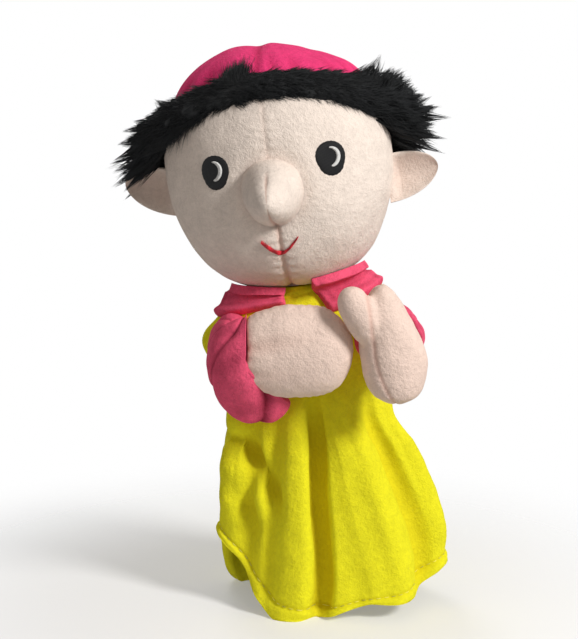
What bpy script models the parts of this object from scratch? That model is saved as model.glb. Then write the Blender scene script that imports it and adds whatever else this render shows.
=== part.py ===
# Plush hand puppet: a stuffed head with a fur band and cap, a collar, two sleeves with padded
# mitts, and a folded tunic that the hand goes into. It faces -Y and stands on its hem.

import math
from collections import namedtuple

import bmesh
import bpy
from mathutils import Matrix, Vector

MM = 0.001
CLEARANCE = 0.3 * MM
FILLING_CLEARANCE = 0.6 * MM

# Head, in its own frame: X to the right, -Y to the front, origin at its middle
HEAD_HALF_WIDTH = 54 * MM
HEAD_HALF_DEPTH = 47 * MM
HEAD_HALF_HEIGHT = 57 * MM
HEAD_ROLL = math.radians(-7.5)
HEAD_YAW = math.radians(-5)
HEAD_SKIN = 1.5 * MM
CROWN_BULGE_POWER = 0.87
JAW_HEIGHT_POWER = 0.833
JAW_WIDTH_POWER = 0.8
NECK_RADIUS = 15 * MM
NECK_CENTRE = Vector((-2.5, -2, 157.5)) * MM
HEAD_COLUMNS = 28
PANEL_COLUMNS = 8
FACE_ROWS = 8
CROWN_ROWS = 5

# Finger pocket in the head
POCKET_RADIUS = 11 * MM
POCKET_WALL = 1 * MM
POCKET_DEPTH = 52 * MM
POCKET_SIDES = 20

# Fur band: heights above the head's middle, at the front and at the back
BAND_LOWER_FRONT = 35 * MM
BAND_LOWER_BACK = -14 * MM
BAND_UPPER_FRONT = 49 * MM
BAND_UPPER_BACK = 19 * MM
BAND_FRONT_PILE = 11 * MM
BAND_SIDE_PILE = 30 * MM
BAND_TIP_LEFT = 5 * MM
BAND_TIP_RIGHT = -1 * MM
BAND_SHORT_TUFT = 0.74
BAND_TUFTS = 32
BAND_ROOT = 3 * MM
BAND_FLUFF = 2 * MM
BAND_SIDE_DROP = 9 * MM
BAND_BELOW_SHARE = 0.5
BAND_ABOVE_SHARE = 0.45
BAND_TIP_SHARPNESS = 3
STANDING_TUFT = 16 * MM
STANDING_AZIMUTH = 58
STANDING_REACH = 30
CROWN_PUFF = 1.5 * MM

# Eyes, mouth and nose, placed by azimuth on the head and by height above its middle
EYE_RADIUS = 7.5 * MM
EYE_LEFT_AZIMUTH = math.radians(-28)
EYE_RIGHT_AZIMUTH = math.radians(31)
EYE_HEIGHT = 5 * MM
DISC_SIDES = 22
PATCH_HALF_DEPTH = 12 * MM
THREAD = 0.8 * MM
CRESCENT_RADIUS = 4.6 * MM
CRESCENT_WIDTH = 1.6 * MM
CRESCENT_SHIFT = 0.6 * MM
MOUTH_HALF_WIDTH = 8.2 * MM
MOUTH_DEPTH = 8 * MM
MOUTH_HEIGHT = -29.5 * MM
MOUTH_LINE = 1.3 * MM
MOUTH_STEPS = 10
MOUTH_BEND = 1.3
NOSE_HALF_WIDTH = 13.5 * MM
NOSE_HALF_HEIGHT = 14.8 * MM
NOSE_LENGTH = 29 * MM
NOSE_HEIGHT = -7.5 * MM
NOSE_DROOP = 3 * MM
NOSE_SIDES = 16
NOSE_SHARES = (0, 0.18, 0.36, 0.54, 0.7, 0.84, 0.95)
NOSE_BLUNTNESS = 2.4
NOSE_TAPER = 0.3

# Ears
EAR_HALF_HEIGHT = 11.5 * MM
EAR_HALF_DEPTH = 4.5 * MM
EAR_LENGTH = 21 * MM
EAR_DISH = 2.2 * MM
EAR_LEFT_HEIGHT = -6 * MM
EAR_RIGHT_HEIGHT = -12 * MM
EAR_LEFT_RISE = 6.5 * MM
EAR_RIGHT_RISE = 3.5 * MM
EAR_ROOT = 4 * MM
EAR_SIDES = 14
EAR_SHARES = (0, 0.2, 0.4, 0.6, 0.8, 0.93)
EAR_BLUNTNESS = 2.2
EAR_ROUNDING = 0.6

# Tunic: sections from the hem up, each with its heights at the left, right, front and back,
# and how far it reaches to each of them
Section = namedtuple("Section", "up_left up_right up_front up_back left right front back")
TUNIC_SECTIONS = (
    Section(37, 21, 0, 0, -38.5, 69.5, -38, 34),
    Section(48, 38, 15, 15, -38.5, 69.5, -37, 33),
    Section(58, 52, 34, 34, -38, 66.5, -35, 31),
    Section(68, 67, 56, 56, -38, 60.5, -32, 28),
    Section(80, 80, 77, 77, -37, 54, -29, 25),
    Section(94, 94, 95, 95, -35.5, 46, -26, 22),
    Section(112, 112, 112, 112, -40, 46, -24, 21),
    Section(128, 132, 129, 130, -45, 48, -23, 21),
    Section(141, 150, 144, 144, -39.5, 45, -22, 20),
    Section(151.5, 163, 153, 153, -34, 33, -18.5, 17),
)
TUNIC_WALL = 2 * MM
HEM_ROLL = 1 * MM
HEM_TOP = 0.3
HEM_ARCH_LEFT = 40 * MM
HEM_ARCH_RIGHT = 24 * MM
HEM_ARCH_FRONT = 10.5 * MM
HEM_FLAT = 2.5 * MM
HEM_LEFT_AZIMUTH = -82
HEM_LEFT_REACH_FRONT = 62
HEM_LEFT_REACH_BACK = 48
HEM_RIGHT_AZIMUTH = 88
HEM_RIGHT_REACH = 66
HEM_FRONT_AZIMUTH = 22
HEM_FRONT_REACH = 42
TRIMMING_FLOOR = 20 * MM
FRONT_COLUMNS = 30
BACK_COLUMNS = 16
TUNIC_ROWS = (0, 0.3, 0.34, 1, 1.5, 2, 2.5, 3, 3.5, 4, 4.5, 5, 5.5, 6, 6.8, 7.5, 8.2, 9, 9.5, 10)
TOP_SECTION = 9
NECK_ROW = 10

# Folds of the skirt: azimuth at the waist and at the hem, reach in or out, half width, in degrees
Fold = namedtuple("Fold", "waist hem reach half_width")
SKIRT_FOLDS = (
    Fold(3, -9, -6.5, 9),
    Fold(-14, -24, 3.0, 14),
    Fold(20, 33, 5.0, 15),
    Fold(42, 56, -4.5, 12),
    Fold(-42, -52, -3.5, 12),
    Fold(-68, -72, 3.0, 14),
    Fold(70, 78, 3.0, 14),
    Fold(125, 120, -3.5, 18),
    Fold(165, 168, -4.0, 16),
    Fold(-150, -145, -3.5, 16),
    Fold(-112, -118, 2.5, 16),
)
FOLD_WAIST = 6.0
FOLD_ONSET = 2.2
FOLD_WAIST_WIDTH = 0.75
FOLD_FLARE = 0.35

# Collar flaps on the tunic's shoulders: azimuths, lower edge at the front and at the side, top
COLLAR_THICKNESS = 3 * MM
COLLAR_SEAT = 0.85 * MM
COLLAR_COLUMNS = 8
COLLAR_ROWS = 4
COLLAR_TRIM_ROWS = 0.05
Flap = namedtuple("Flap", "start end low_front low_side top_front top_side")
COLLAR_LEFT = Flap(-12, -86, 8.45, 7.9, 9.35, 9.1)
COLLAR_RIGHT = Flap(15, 76, 8.1, 8.45, 9.35, 9.15)

# Sleeves and mitts
SLEEVE_WALL = 2 * MM
SLEEVE_SIDES = 16
ARM_HOLE_RADIUS = 8 * MM
ARM_HOLE_SIDES = 16
SLEEVE_LEFT_AZIMUTH = -50
SLEEVE_RIGHT_AZIMUTH = 50
SLEEVE_LEFT_ROW = 7
SLEEVE_RIGHT_ROW = 7.3
ARM_HOLE_HALF_DEPTH = 8 * MM
CUFF_HALF_HEIGHT = 17 * MM
CUFF_HALF_DEPTH = 12 * MM
MITT_SIDES = 18
LEFT_MITT_LENGTH = 48.5 * MM
LEFT_MITT_HALF_HEIGHT = 22.3 * MM
LEFT_MITT_HALF_DEPTH = 13.5 * MM
LEFT_MITT_SHARES = (0, 0.12, 0.28, 0.45, 0.62, 0.78, 0.9, 0.97)
LEFT_MITT_SWELL = 1.1
LEFT_MITT_START = 0.13
LEFT_MITT_NARROW = 0.4
LEFT_MITT_BLUNTNESS = 2.6
LEFT_MITT_ROUNDING = 0.45
RIGHT_MITT_HALF_DEPTH = 12 * MM
RIGHT_MITT_FULL = 14 * MM
RIGHT_MITT_ROUNDING = 0.6
THUMB_RADIUS = 8.5 * MM
THUMB_SIDES = 12
THUMB_SHARES = (0.04, 0.15, 0.35, 0.55, 0.75, 0.9, 0.97)
THUMB_BLUNTNESS = 2.6
LOWER_PUSH_POWER = 1.5

# Each sleeve's rings from its root to its cuff, in millimetres: middle, level heading,
# half width, half height, and how far the lower side is pushed along X and Z
SleeveRing = namedtuple("SleeveRing", "x y z heading half_width half_height push_x push_z")
LEFT_SLEEVE = (
    SleeveRing(2, 5, 0, (0, -1), 11, 15, 0, 0),
    SleeveRing(1.5, -6, -1, (-0.1, -1), 11, 17.5, 0, 0),
    SleeveRing(0.5, -16, -4.5, (0.3, -1), 9, 20, 0, -2),
    SleeveRing(0, -24, -5, (0.75, -0.7), 10, 20.5, 0.8, -4),
    SleeveRing(6, -27.5, -1, (1, -0.1), 11, 19, 1, -5),
)
LEFT_ELBOW = 2
SLEEVE_GAP = 0.4 * MM
LEFT_CUFF_PLACE = (9.5, -28, 3.5)
RIGHT_SLEEVE = (
    SleeveRing(-3, 5, 0, (0.3, -1), 12, 14, 0, 0),
    SleeveRing(4, -5, 1, (0.5, -1), 14.5, 16, 0, 0),
    SleeveRing(7.5, -13, 2, (0.2, -1), 15.5, 16, 0, 0),
    SleeveRing(7, -19, 0, (0, -1), 13, 15, 0, 0),
    SleeveRing(7, -28, 0, (0, -1), 12, 14, 0, 0),
)
RIGHT_MITT_PLACE = (6.5, -32, -1.5)

COLOURS = {
    "cheek": (0.80, 0.62, 0.53),
    "filling": (0.85, 0.84, 0.80),
    "lining": (0.75, 0.60, 0.52),
    "fur": (0.012, 0.013, 0.016),
    "cap": (0.78, 0.05, 0.16),
    "black_thread": (0.01, 0.01, 0.012),
    "white_thread": (0.85, 0.85, 0.83),
    "red_thread": (0.70, 0.03, 0.05),
    "magenta": (0.62, 0.05, 0.14),
    "yellow": (0.80, 0.76, 0.03),
    "mitt": (0.80, 0.56, 0.46),
}


def clear_scene():
    for item in list(bpy.data.objects):
        bpy.data.objects.remove(item, do_unlink=True)


def cloth(name):
    """A soft, matt material of one of the puppet's colours."""
    found = bpy.data.materials.get(name)
    if found:
        return found
    made = bpy.data.materials.new(name)
    made.use_nodes = True
    surface = made.node_tree.nodes["Principled BSDF"]
    surface.inputs["Base Color"].default_value = (*COLOURS[name], 1)
    surface.inputs["Roughness"].default_value = 0.9
    surface.inputs["Metallic"].default_value = 0
    made.diffuse_color = (*COLOURS[name], 1)
    return made


def mesh_object(name, points, faces, material):
    """Make an object from points and faces, with the faces turned outward.

    Every four-sided face is split the same way, so nested skins keep an even gap.
    """
    mesh = bpy.data.meshes.new(name)
    mesh.from_pydata(points, [], faces)
    work = bmesh.new()
    work.from_mesh(mesh)
    bmesh.ops.triangulate(work, faces=work.faces, quad_method="FIXED")
    bmesh.ops.recalc_face_normals(work, faces=work.faces)
    work.to_mesh(mesh)
    work.free()
    made = bpy.data.objects.new(name, mesh)
    bpy.context.scene.collection.objects.link(made)
    made.data.materials.append(cloth(material))
    return made


def loft(name, rings, material, first=None, last=None, closed=False):
    """Join rings of points into a skin, closed by a point at each end or ring to ring."""
    sides = len(rings[0])
    points = [point for ring in rings for point in ring]
    faces = []
    spans = len(rings) if closed else len(rings) - 1
    for row in range(spans):
        low = row * sides
        high = (row + 1) % len(rings) * sides
        for side in range(sides):
            after = (side + 1) % sides
            faces.append((low + side, low + after, high + after, high + side))
    for end, row in ((first, 0), (last, len(rings) - 1)):
        if end is not None:
            points.append(end)
            tip = len(points) - 1
            for side in range(sides):
                faces.append((row * sides + side, row * sides + (side + 1) % sides, tip))
    return mesh_object(name, points, faces, material)


def slab(name, outer, inner, material):
    """A sheet with thickness between two open grids of points of one size."""
    rows = len(outer)
    columns = len(outer[0])
    points = [point for row in outer for point in row] + [point for row in inner for point in row]
    under = rows * columns
    faces = []
    for row in range(rows - 1):
        for column in range(columns - 1):
            corner = row * columns + column
            quad = (corner, corner + 1, corner + columns + 1, corner + columns)
            faces.append(quad)
            faces.append(tuple(index + under for index in quad))
    border = [column for column in range(columns)]
    border += [row * columns + columns - 1 for row in range(1, rows)]
    border += [(rows - 1) * columns + column for column in range(columns - 2, -1, -1)]
    border += [row * columns for row in range(rows - 2, 0, -1)]
    for here, there in zip(border, border[1:] + border[:1]):
        faces.append((here, here + under, there + under, there))
    return mesh_object(name, points, faces, material)


def apply_boolean(target, cutter, operation="DIFFERENCE"):
    """Cut or join the target with the cutter, and drop the cutter."""
    change = target.modifiers.new("change", "BOOLEAN")
    change.operation = operation
    change.solver = "EXACT"
    change.object = cutter
    bpy.context.view_layer.update()
    seen = target.evaluated_get(bpy.context.evaluated_depsgraph_get())
    result = bpy.data.meshes.new_from_object(seen)
    target.modifiers.clear()
    target.data = result
    bpy.data.objects.remove(cutter, do_unlink=True)
    return target


def bump(angle, centre, half_width):
    """A smooth hill of height 1 at the centre angle that ends at the half width, in degrees."""
    away = abs((angle - centre + 180) % 360 - 180)
    return math.cos(math.radians(90 * away / half_width)) ** 2 if away < half_width else 0


def steps(start, end, count):
    return [start + (end - start) * index / count for index in range(count + 1)]


def ring_angles(count):
    return [2 * math.pi * index / count for index in range(count)]


def normal_of(surface, across, up):
    """Outward normal of a surface whose first value runs to the right and second one upward."""
    small = 0.001
    side = surface(across + small, up) - surface(across - small, up)
    rise = surface(across, up + small) - surface(across, up - small)
    return side.cross(rise).normalized()


# Head


def head_surface(azimuth, latitude):
    """Point on the head's skin in the head's frame."""
    rise = math.sin(latitude)
    reach = max(math.cos(latitude), 0)
    if rise >= 0:
        up = rise ** CROWN_BULGE_POWER
        out = reach ** CROWN_BULGE_POWER
    else:
        up = -((-rise) ** JAW_HEIGHT_POWER)
        out = reach ** JAW_WIDTH_POWER
    return Vector((
        HEAD_HALF_WIDTH * out * math.sin(azimuth),
        -HEAD_HALF_DEPTH * out * math.cos(azimuth),
        HEAD_HALF_HEIGHT * up,
    ))


def latitude_at(height):
    """Latitude of the head's skin at a height above its middle."""
    share = min(abs(height) / HEAD_HALF_HEIGHT, 1)
    if height >= 0:
        return math.asin(share ** (1 / CROWN_BULGE_POWER))
    return -math.asin(share ** (1 / JAW_HEIGHT_POWER))


def neck_latitude():
    return -math.acos((NECK_RADIUS / HEAD_HALF_WIDTH) ** (1 / JAW_WIDTH_POWER))


def neck_height():
    return head_surface(0, neck_latitude()).z


def head_matrix():
    """Place of the head: it stands on the tunic's neck and leans with its roll and yaw."""
    turn = Matrix.Rotation(HEAD_ROLL, 4, "Y") @ Matrix.Rotation(HEAD_YAW, 4, "Z")
    return Matrix.Translation(NECK_CENTRE) @ turn @ Matrix.Translation((0, 0, -neck_height()))


def band_edge(azimuth, front, back):
    """Height of an edge of the fur band, which slopes from the front down to the back."""
    return (front + back) / 2 + (front - back) / 2 * math.cos(azimuth)


def band_middle(azimuth):
    lower = band_edge(azimuth, BAND_LOWER_FRONT, BAND_LOWER_BACK)
    upper = band_edge(azimuth, BAND_UPPER_FRONT, BAND_UPPER_BACK)
    return (lower + upper) / 2


def head_latitude(azimuth, row):
    """Latitude of a row of the head's grid: face rows end under the band, crown rows on top."""
    seam = latitude_at(band_middle(azimuth))
    if row <= FACE_ROWS:
        return neck_latitude() + (seam - neck_latitude()) * row / FACE_ROWS
    return seam + (math.pi / 2 - seam) * (row - FACE_ROWS) / CROWN_ROWS


def crown_puff(row):
    """How far the cap's crown stands out over the head's skin at a row."""
    return CROWN_PUFF if row >= FACE_ROWS + 2 else 0


def head_point(azimuth, row, offset, raised=0.0):
    latitude = head_latitude(azimuth, row) + raised / HEAD_HALF_DEPTH
    return head_surface(azimuth, latitude) + offset * normal_of(head_surface, azimuth, latitude)


def head_rings(first_row, last_row, offset, puffed=False, raised=0.0):
    """Rings of the head's skin; the first one may be raised, to leave a gap below it."""
    rings = []
    for row in range(first_row, last_row + 1):
        lift = offset + (crown_puff(row) if puffed else 0)
        gap = raised if row == first_row else 0
        rings.append([head_point(angle, row, lift, gap) for angle in ring_angles(HEAD_COLUMNS)])
    return rings


def top_of_head(offset):
    return Vector((0, 0, HEAD_HALF_HEIGHT + offset))


def head_solid(name, offset, puffed=False):
    """The whole head as one solid, grown by an offset."""
    rings = head_rings(0, FACE_ROWS + CROWN_ROWS - 1, offset, puffed)
    lift = offset + (CROWN_PUFF if puffed else 0)
    bottom = Vector((0, 0, neck_height() - offset))
    return loft(name, rings, "filling", bottom, top_of_head(lift))


def head_panel(name, start_column, columns):
    """A panel of the head's plush skin from one seam to the next."""
    turn = 2 * math.pi / HEAD_COLUMNS
    seam = CLEARANCE / 2 / HEAD_HALF_DEPTH
    azimuths = [turn * (start_column + column) for column in range(columns + 1)]
    azimuths[0] += seam
    azimuths[-1] -= seam
    rows = range(FACE_ROWS + 1)
    outer = [[head_point(azimuth, row, 0) for azimuth in azimuths] for row in rows]
    inner = [[head_point(azimuth, row, -HEAD_SKIN) for azimuth in azimuths] for row in rows]
    return slab(name, outer, inner, "cheek")


def cap_crown():
    """The cap's pink crown, a dome whose rim lies under the fur band."""
    top = FACE_ROWS + CROWN_ROWS - 1
    outer = head_rings(FACE_ROWS, top, 0, puffed=True, raised=CLEARANCE)
    inner = head_rings(FACE_ROWS, top, -HEAD_SKIN, raised=CLEARANCE)
    rings = inner[::-1] + outer
    return loft("cap_crown", rings, "cap", top_of_head(-HEAD_SKIN), top_of_head(CROWN_PUFF))


def cylinder(name, radius, low, high, sides, material):
    """An upright cylinder between two heights on the head's axis."""
    rings = []
    for height in (low, high):
        rings.append([
            Vector((radius * math.cos(angle), radius * math.sin(angle), height))
            for angle in ring_angles(sides)
        ])
    return loft(name, rings, material, Vector((0, 0, low)), Vector((0, 0, high)))


def head_stuffing():
    """The head's filling, with a blind hole for the finger pocket."""
    filling = head_solid("head_stuffing", -HEAD_SKIN - FILLING_CLEARANCE)
    hole = cylinder(
        "pocket_hole", POCKET_RADIUS + CLEARANCE, neck_height() - POCKET_DEPTH,
        neck_height() + POCKET_DEPTH + CLEARANCE, POCKET_SIDES, "filling",
    )
    return apply_boolean(filling, hole)


def finger_pocket():
    """A cloth cup, open downward, that the finger reaches into."""
    top = neck_height() + POCKET_DEPTH
    pocket = cylinder("finger_pocket", POCKET_RADIUS, neck_height(), top, POCKET_SIDES, "lining")
    room = cylinder(
        "pocket_room", POCKET_RADIUS - POCKET_WALL, neck_height() - POCKET_DEPTH,
        top - POCKET_WALL, POCKET_SIDES, "lining",
    )
    return apply_boolean(pocket, room)


def band_section(index):
    """One section of the fur band, at a long or a short tuft."""
    azimuth = math.pi * index / BAND_TUFTS
    degrees = math.degrees(azimuth)
    lower = band_edge(azimuth, BAND_LOWER_FRONT, BAND_LOWER_BACK)
    upper = band_edge(azimuth, BAND_UPPER_FRONT, BAND_UPPER_BACK)
    side = abs(math.sin(azimuth)) ** BAND_TIP_SHARPNESS
    tuft = BAND_SHORT_TUFT if index % 2 else 1
    pile = (BAND_FRONT_PILE + (BAND_SIDE_PILE - BAND_FRONT_PILE) * side) * tuft
    tip_side = BAND_TIP_RIGHT if math.sin(azimuth) > 0 else BAND_TIP_LEFT
    tip_height = band_middle(azimuth) * (1 - side) + tip_side * side
    outward = Vector((math.sin(azimuth), -math.cos(azimuth), 0))
    rise = Vector((0, 0, 1))
    low = head_surface(azimuth, latitude_at(lower))
    high = head_surface(azimuth, latitude_at(upper))
    middle = head_surface(azimuth, latitude_at(band_middle(azimuth)))
    standing = STANDING_TUFT * bump(degrees, STANDING_AZIMUTH, STANDING_REACH) * tuft
    tip = middle + outward * pile
    tip.z = tip_height
    below = low + outward * pile * BAND_BELOW_SHARE
    below.z = lower - (lower - tip_height) * BAND_BELOW_SHARE - BAND_FLUFF * (1 - side)
    above = high + outward * pile * BAND_ABOVE_SHARE
    above.z = upper + BAND_FLUFF - BAND_SIDE_DROP * side + standing
    root = outward * -BAND_ROOT
    return [low + root, below, tip, above, high + root + rise * BAND_FLUFF]


def hair_band(clearance_solid):
    """The long-pile fur band, with tufts along its outer edge, laid round the head."""
    rings = [band_section(index) for index in range(2 * BAND_TUFTS)]
    return apply_boolean(loft("hair_band", rings, "fur", closed=True), clearance_solid)


def nose(clearance_solid):
    """A stuffed cone that rounds off toward its tip and droops a little."""
    base = head_surface(0, latitude_at(NOSE_HEIGHT))
    rings = []
    for share in NOSE_SHARES:
        reach = -BAND_ROOT + (NOSE_LENGTH + BAND_ROOT) * share
        width = (1 - share ** NOSE_BLUNTNESS) ** 0.5 * (1 - NOSE_TAPER * share)
        centre = base + Vector((0, -reach, -NOSE_DROOP * share))
        rings.append([
            centre + Vector((NOSE_HALF_WIDTH * width * math.cos(angle), 0,
                             NOSE_HALF_HEIGHT * width * math.sin(angle)))
            for angle in ring_angles(NOSE_SIDES)
        ])
    back = base + Vector((0, BAND_ROOT, 0))
    tip = base + Vector((0, -NOSE_LENGTH, -NOSE_DROOP))
    return apply_boolean(loft("nose", rings, "cheek", back, tip), clearance_solid)


def ear(name, side, height, tip_rise, clearance_solid):
    """A folded ear: a flat leaf, dished at the front, that narrows to its tip."""
    latitude = latitude_at(height)
    base = head_surface(side * math.pi / 2, latitude)
    rings = []
    for share in EAR_SHARES:
        reach = -EAR_ROOT + (EAR_LENGTH + EAR_ROOT) * share
        width = (1 - share ** EAR_BLUNTNESS) ** EAR_ROUNDING
        centre = base + Vector((side * reach, 0, tip_rise * share))
        ring = []
        for angle in ring_angles(EAR_SIDES):
            dish = EAR_DISH * width * max(-math.sin(angle), 0) ** 2
            ring.append(centre + Vector((
                0,
                EAR_HALF_DEPTH * width * math.sin(angle) + dish,
                EAR_HALF_HEIGHT * width * math.cos(angle),
            )))
        rings.append(ring)
    inside = base + Vector((-side * EAR_ROOT, 0, 0))
    tip = base + Vector((side * EAR_LENGTH, 0, tip_rise))
    return apply_boolean(loft(name, rings, "cheek", inside, tip), clearance_solid)


def patch(name, outline, azimuth, height, low, high, material):
    """A stitched patch: an outline pushed through the head and kept between two offsets."""
    latitude = latitude_at(height)
    centre = head_surface(azimuth, latitude)
    outward = normal_of(head_surface, azimuth, latitude)
    across = Vector((0, 0, 1)).cross(outward).normalized()
    rise = outward.cross(across)
    rings = []
    for depth in (-PATCH_HALF_DEPTH, PATCH_HALF_DEPTH):
        rings.append([
            centre + outward * depth + across * point[0] + rise * point[1] for point in outline
        ])
    points = rings[0] + rings[1]
    count = len(outline)
    faces = [tuple(range(count)), tuple(range(2 * count - 1, count - 1, -1))]
    for here in range(count):
        there = (here + 1) % count
        faces.append((here, there, there + count, here + count))
    made = mesh_object(name, points, faces, material)
    apply_boolean(made, head_solid("outer_limit", high), "INTERSECT")
    return apply_boolean(made, head_solid("inner_limit", low))


def disc_outline(radius):
    return [(radius * math.cos(angle), radius * math.sin(angle)) for angle in ring_angles(DISC_SIDES)]


def crescent_outline():
    """A moon that is thick in the middle and open to the left."""
    reach = math.radians(75)
    outer = []
    inner = []
    for angle in steps(-reach, reach, 8):
        thick = CRESCENT_WIDTH * (0.25 + 0.75 * math.cos(angle * 1.1))
        outer.append((CRESCENT_SHIFT + CRESCENT_RADIUS * math.cos(angle),
                      CRESCENT_RADIUS * math.sin(angle)))
        inner.append((CRESCENT_SHIFT + (CRESCENT_RADIUS - thick) * math.cos(angle),
                      (CRESCENT_RADIUS - thick * 0.5) * math.sin(angle)))
    return outer + inner[::-1]


def smile_outline():
    """A line of one width that dips to a soft point in the middle."""
    upper = []
    lower = []
    for across in steps(-MOUTH_HALF_WIDTH, MOUTH_HALF_WIDTH, MOUTH_STEPS):
        dip = MOUTH_DEPTH * (1 - abs(across / MOUTH_HALF_WIDTH) ** MOUTH_BEND)
        upper.append((across, -dip + MOUTH_LINE / 2))
        lower.append((across, -dip - MOUTH_LINE / 2))
    return upper + lower[::-1]


def face_stitching():
    stitches = []
    eye_top = CLEARANCE + THREAD
    for azimuth, word in ((EYE_LEFT_AZIMUTH, "left"), (EYE_RIGHT_AZIMUTH, "right")):
        stitches.append(patch(
            "eye_" + word, disc_outline(EYE_RADIUS), azimuth, EYE_HEIGHT,
            CLEARANCE, eye_top, "black_thread",
        ))
        stitches.append(patch(
            "eye_crescent_" + word, crescent_outline(), azimuth, EYE_HEIGHT,
            eye_top + CLEARANCE, eye_top + CLEARANCE + THREAD, "white_thread",
        ))
    stitches.append(patch(
        "mouth_stitch", smile_outline(), 0, MOUTH_HEIGHT, CLEARANCE, CLEARANCE + THREAD,
        "red_thread",
    ))
    return stitches


def build_head():
    def clear():
        return head_solid("head_clear", CLEARANCE, puffed=True)

    pieces = [
        head_panel("face_panel_left", -PANEL_COLUMNS, PANEL_COLUMNS),
        head_panel("face_panel_right", 0, PANEL_COLUMNS),
        head_panel("head_back_panel", PANEL_COLUMNS, HEAD_COLUMNS - 2 * PANEL_COLUMNS),
        head_stuffing(),
        finger_pocket(),
        cap_crown(),
        hair_band(clear()),
        nose(clear()),
        ear("ear_left", -1, EAR_LEFT_HEIGHT, EAR_LEFT_RISE, clear()),
        ear("ear_right", 1, EAR_RIGHT_HEIGHT, EAR_RIGHT_RISE, clear()),
    ]
    pieces += face_stitching()
    frame = bpy.data.objects.new("head_frame", None)
    bpy.context.scene.collection.objects.link(frame)
    frame.matrix_world = head_matrix()
    for piece in pieces:
        piece.parent = frame
    return [frame]


# Tunic


def between(before, low, high, after, share):
    """Smooth value between low and high, with the values on either side for the slope."""
    return 0.5 * (
        2 * low + (high - before) * share
        + (2 * before - 5 * low + 4 * high - after) * share ** 2
        + (3 * low - before - 3 * high + after) * share ** 3
    )


def section_at(row):
    """The tunic's section at a row, which may lie between two of the listed ones."""
    last = len(TUNIC_SECTIONS) - 1
    base = min(max(int(row), 0), last - 1)
    share = row - base
    picked = [TUNIC_SECTIONS[min(max(base + step, 0), last)] for step in (-1, 0, 1, 2)]
    return Section(*(between(*values, share) * MM for values in zip(*picked)))


def hem_height(degrees):
    """The hem lies on the ground at the front left and the back, and arches at the sides."""
    turned = (degrees + 180) % 360 - 180
    left_reach = HEM_LEFT_REACH_FRONT if turned > HEM_LEFT_AZIMUTH else HEM_LEFT_REACH_BACK
    left = HEM_ARCH_LEFT * bump(turned, HEM_LEFT_AZIMUTH, left_reach)
    right = HEM_ARCH_RIGHT * bump(turned, HEM_RIGHT_AZIMUTH, HEM_RIGHT_REACH)
    front = HEM_ARCH_FRONT * bump(turned, HEM_FRONT_AZIMUTH, HEM_FRONT_REACH)
    return max(left + right + front - HEM_FLAT, 0)


def fold_reach(degrees, row):
    """How far the folds move the cloth out at an azimuth and a row."""
    down = min(max(1 - row / FOLD_WAIST, 0), 1)
    ease = math.sin(math.pi / 2 * min(down * FOLD_ONSET, 1))
    reach = 0
    for fold in SKIRT_FOLDS:
        centre = fold.hem + (fold.waist - fold.hem) * (1 - down)
        width = fold.half_width * (FOLD_WAIST_WIDTH + FOLD_FLARE * down)
        reach += fold.reach * MM * bump(degrees, centre, width) * ease
    return reach


def neck_point(azimuth):
    """Point of the tunic's neck edge, just under the head's neck edge."""
    depth = NECK_RADIUS * HEAD_HALF_DEPTH / HEAD_HALF_WIDTH
    rim = Vector((NECK_RADIUS * math.sin(azimuth), -depth * math.cos(azimuth), neck_height() - CLEARANCE))
    return head_matrix() @ rim


def tunic_surface(azimuth, row):
    """Point on the outside of the tunic; azimuth 0 is the front and rows go from hem to neck."""
    if row > TOP_SECTION:
        share = row - TOP_SECTION
        return tunic_surface(azimuth, TOP_SECTION).lerp(neck_point(azimuth), share)
    here = section_at(row)
    side = math.sin(azimuth)
    front = math.cos(azimuth)
    degrees = math.degrees(azimuth)
    half_width = (here.right - here.left) / 2
    half_depth = (here.back - here.front) / 2
    up_side = here.up_right if side > 0 else here.up_left
    up_front = here.up_front if front > 0 else here.up_back
    height = up_side * side ** 2 + up_front * front ** 2
    if row < 1:
        section_hem = TUNIC_SECTIONS[0]
        listed = (section_hem.up_right if side > 0 else section_hem.up_left) * side ** 2 * MM
        height += (hem_height(degrees) - listed) * (1 - row)
    outward = Vector((half_depth * side, -half_width * front, 0)).normalized()
    place = Vector((
        (here.left + here.right) / 2 + half_width * side,
        (here.front + here.back) / 2 - half_depth * front,
        height,
    ))
    return place + outward * fold_reach(degrees, row)


def tunic_point(azimuth, row, offset):
    """Tunic point moved out along the cloth; the hem's edge moves level, so it lies flat."""
    normal = normal_of(tunic_surface, azimuth, row)
    if row == 0 or row == NECK_ROW:
        normal.z = 0 if row == 0 else normal.z
        normal.normalize()
    return tunic_surface(azimuth, row) + normal * offset


def tunic_azimuths(start, end, count, seam=0.0):
    turns = [math.radians(value) for value in steps(start, end, count)]
    turns[0] += seam
    turns[-1] -= seam
    return turns


def tunic_panel(name, start, end, columns):
    """A tunic panel between the side seams, with its rolled hem."""
    waist = section_at(FOLD_WAIST)
    seam = CLEARANCE / ((waist.back - waist.front) / 2)
    azimuths = tunic_azimuths(start, end, columns, seam)
    outer = []
    inner = []
    for row in TUNIC_ROWS:
        roll = HEM_ROLL if row <= HEM_TOP else 0
        outer.append([tunic_point(azimuth, row, roll) for azimuth in azimuths])
        inner.append([tunic_point(azimuth, row, -TUNIC_WALL - roll) for azimuth in azimuths])
    return slab(name, outer, inner, "yellow")


def tunic_solid(name, offset):
    """The tunic as one solid, grown by an offset, for trimming what is sewn to it."""
    azimuths = tunic_azimuths(-90, 90, FRONT_COLUMNS)[:-1]
    azimuths += tunic_azimuths(90, 270, BACK_COLUMNS)[:-1]
    rings = [[tunic_point(azimuth, row, offset) for azimuth in azimuths] for row in TUNIC_ROWS]
    middle = Vector((0, 0, TRIMMING_FLOOR))
    return loft(name, rings, "yellow", middle, NECK_CENTRE.copy())


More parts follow.
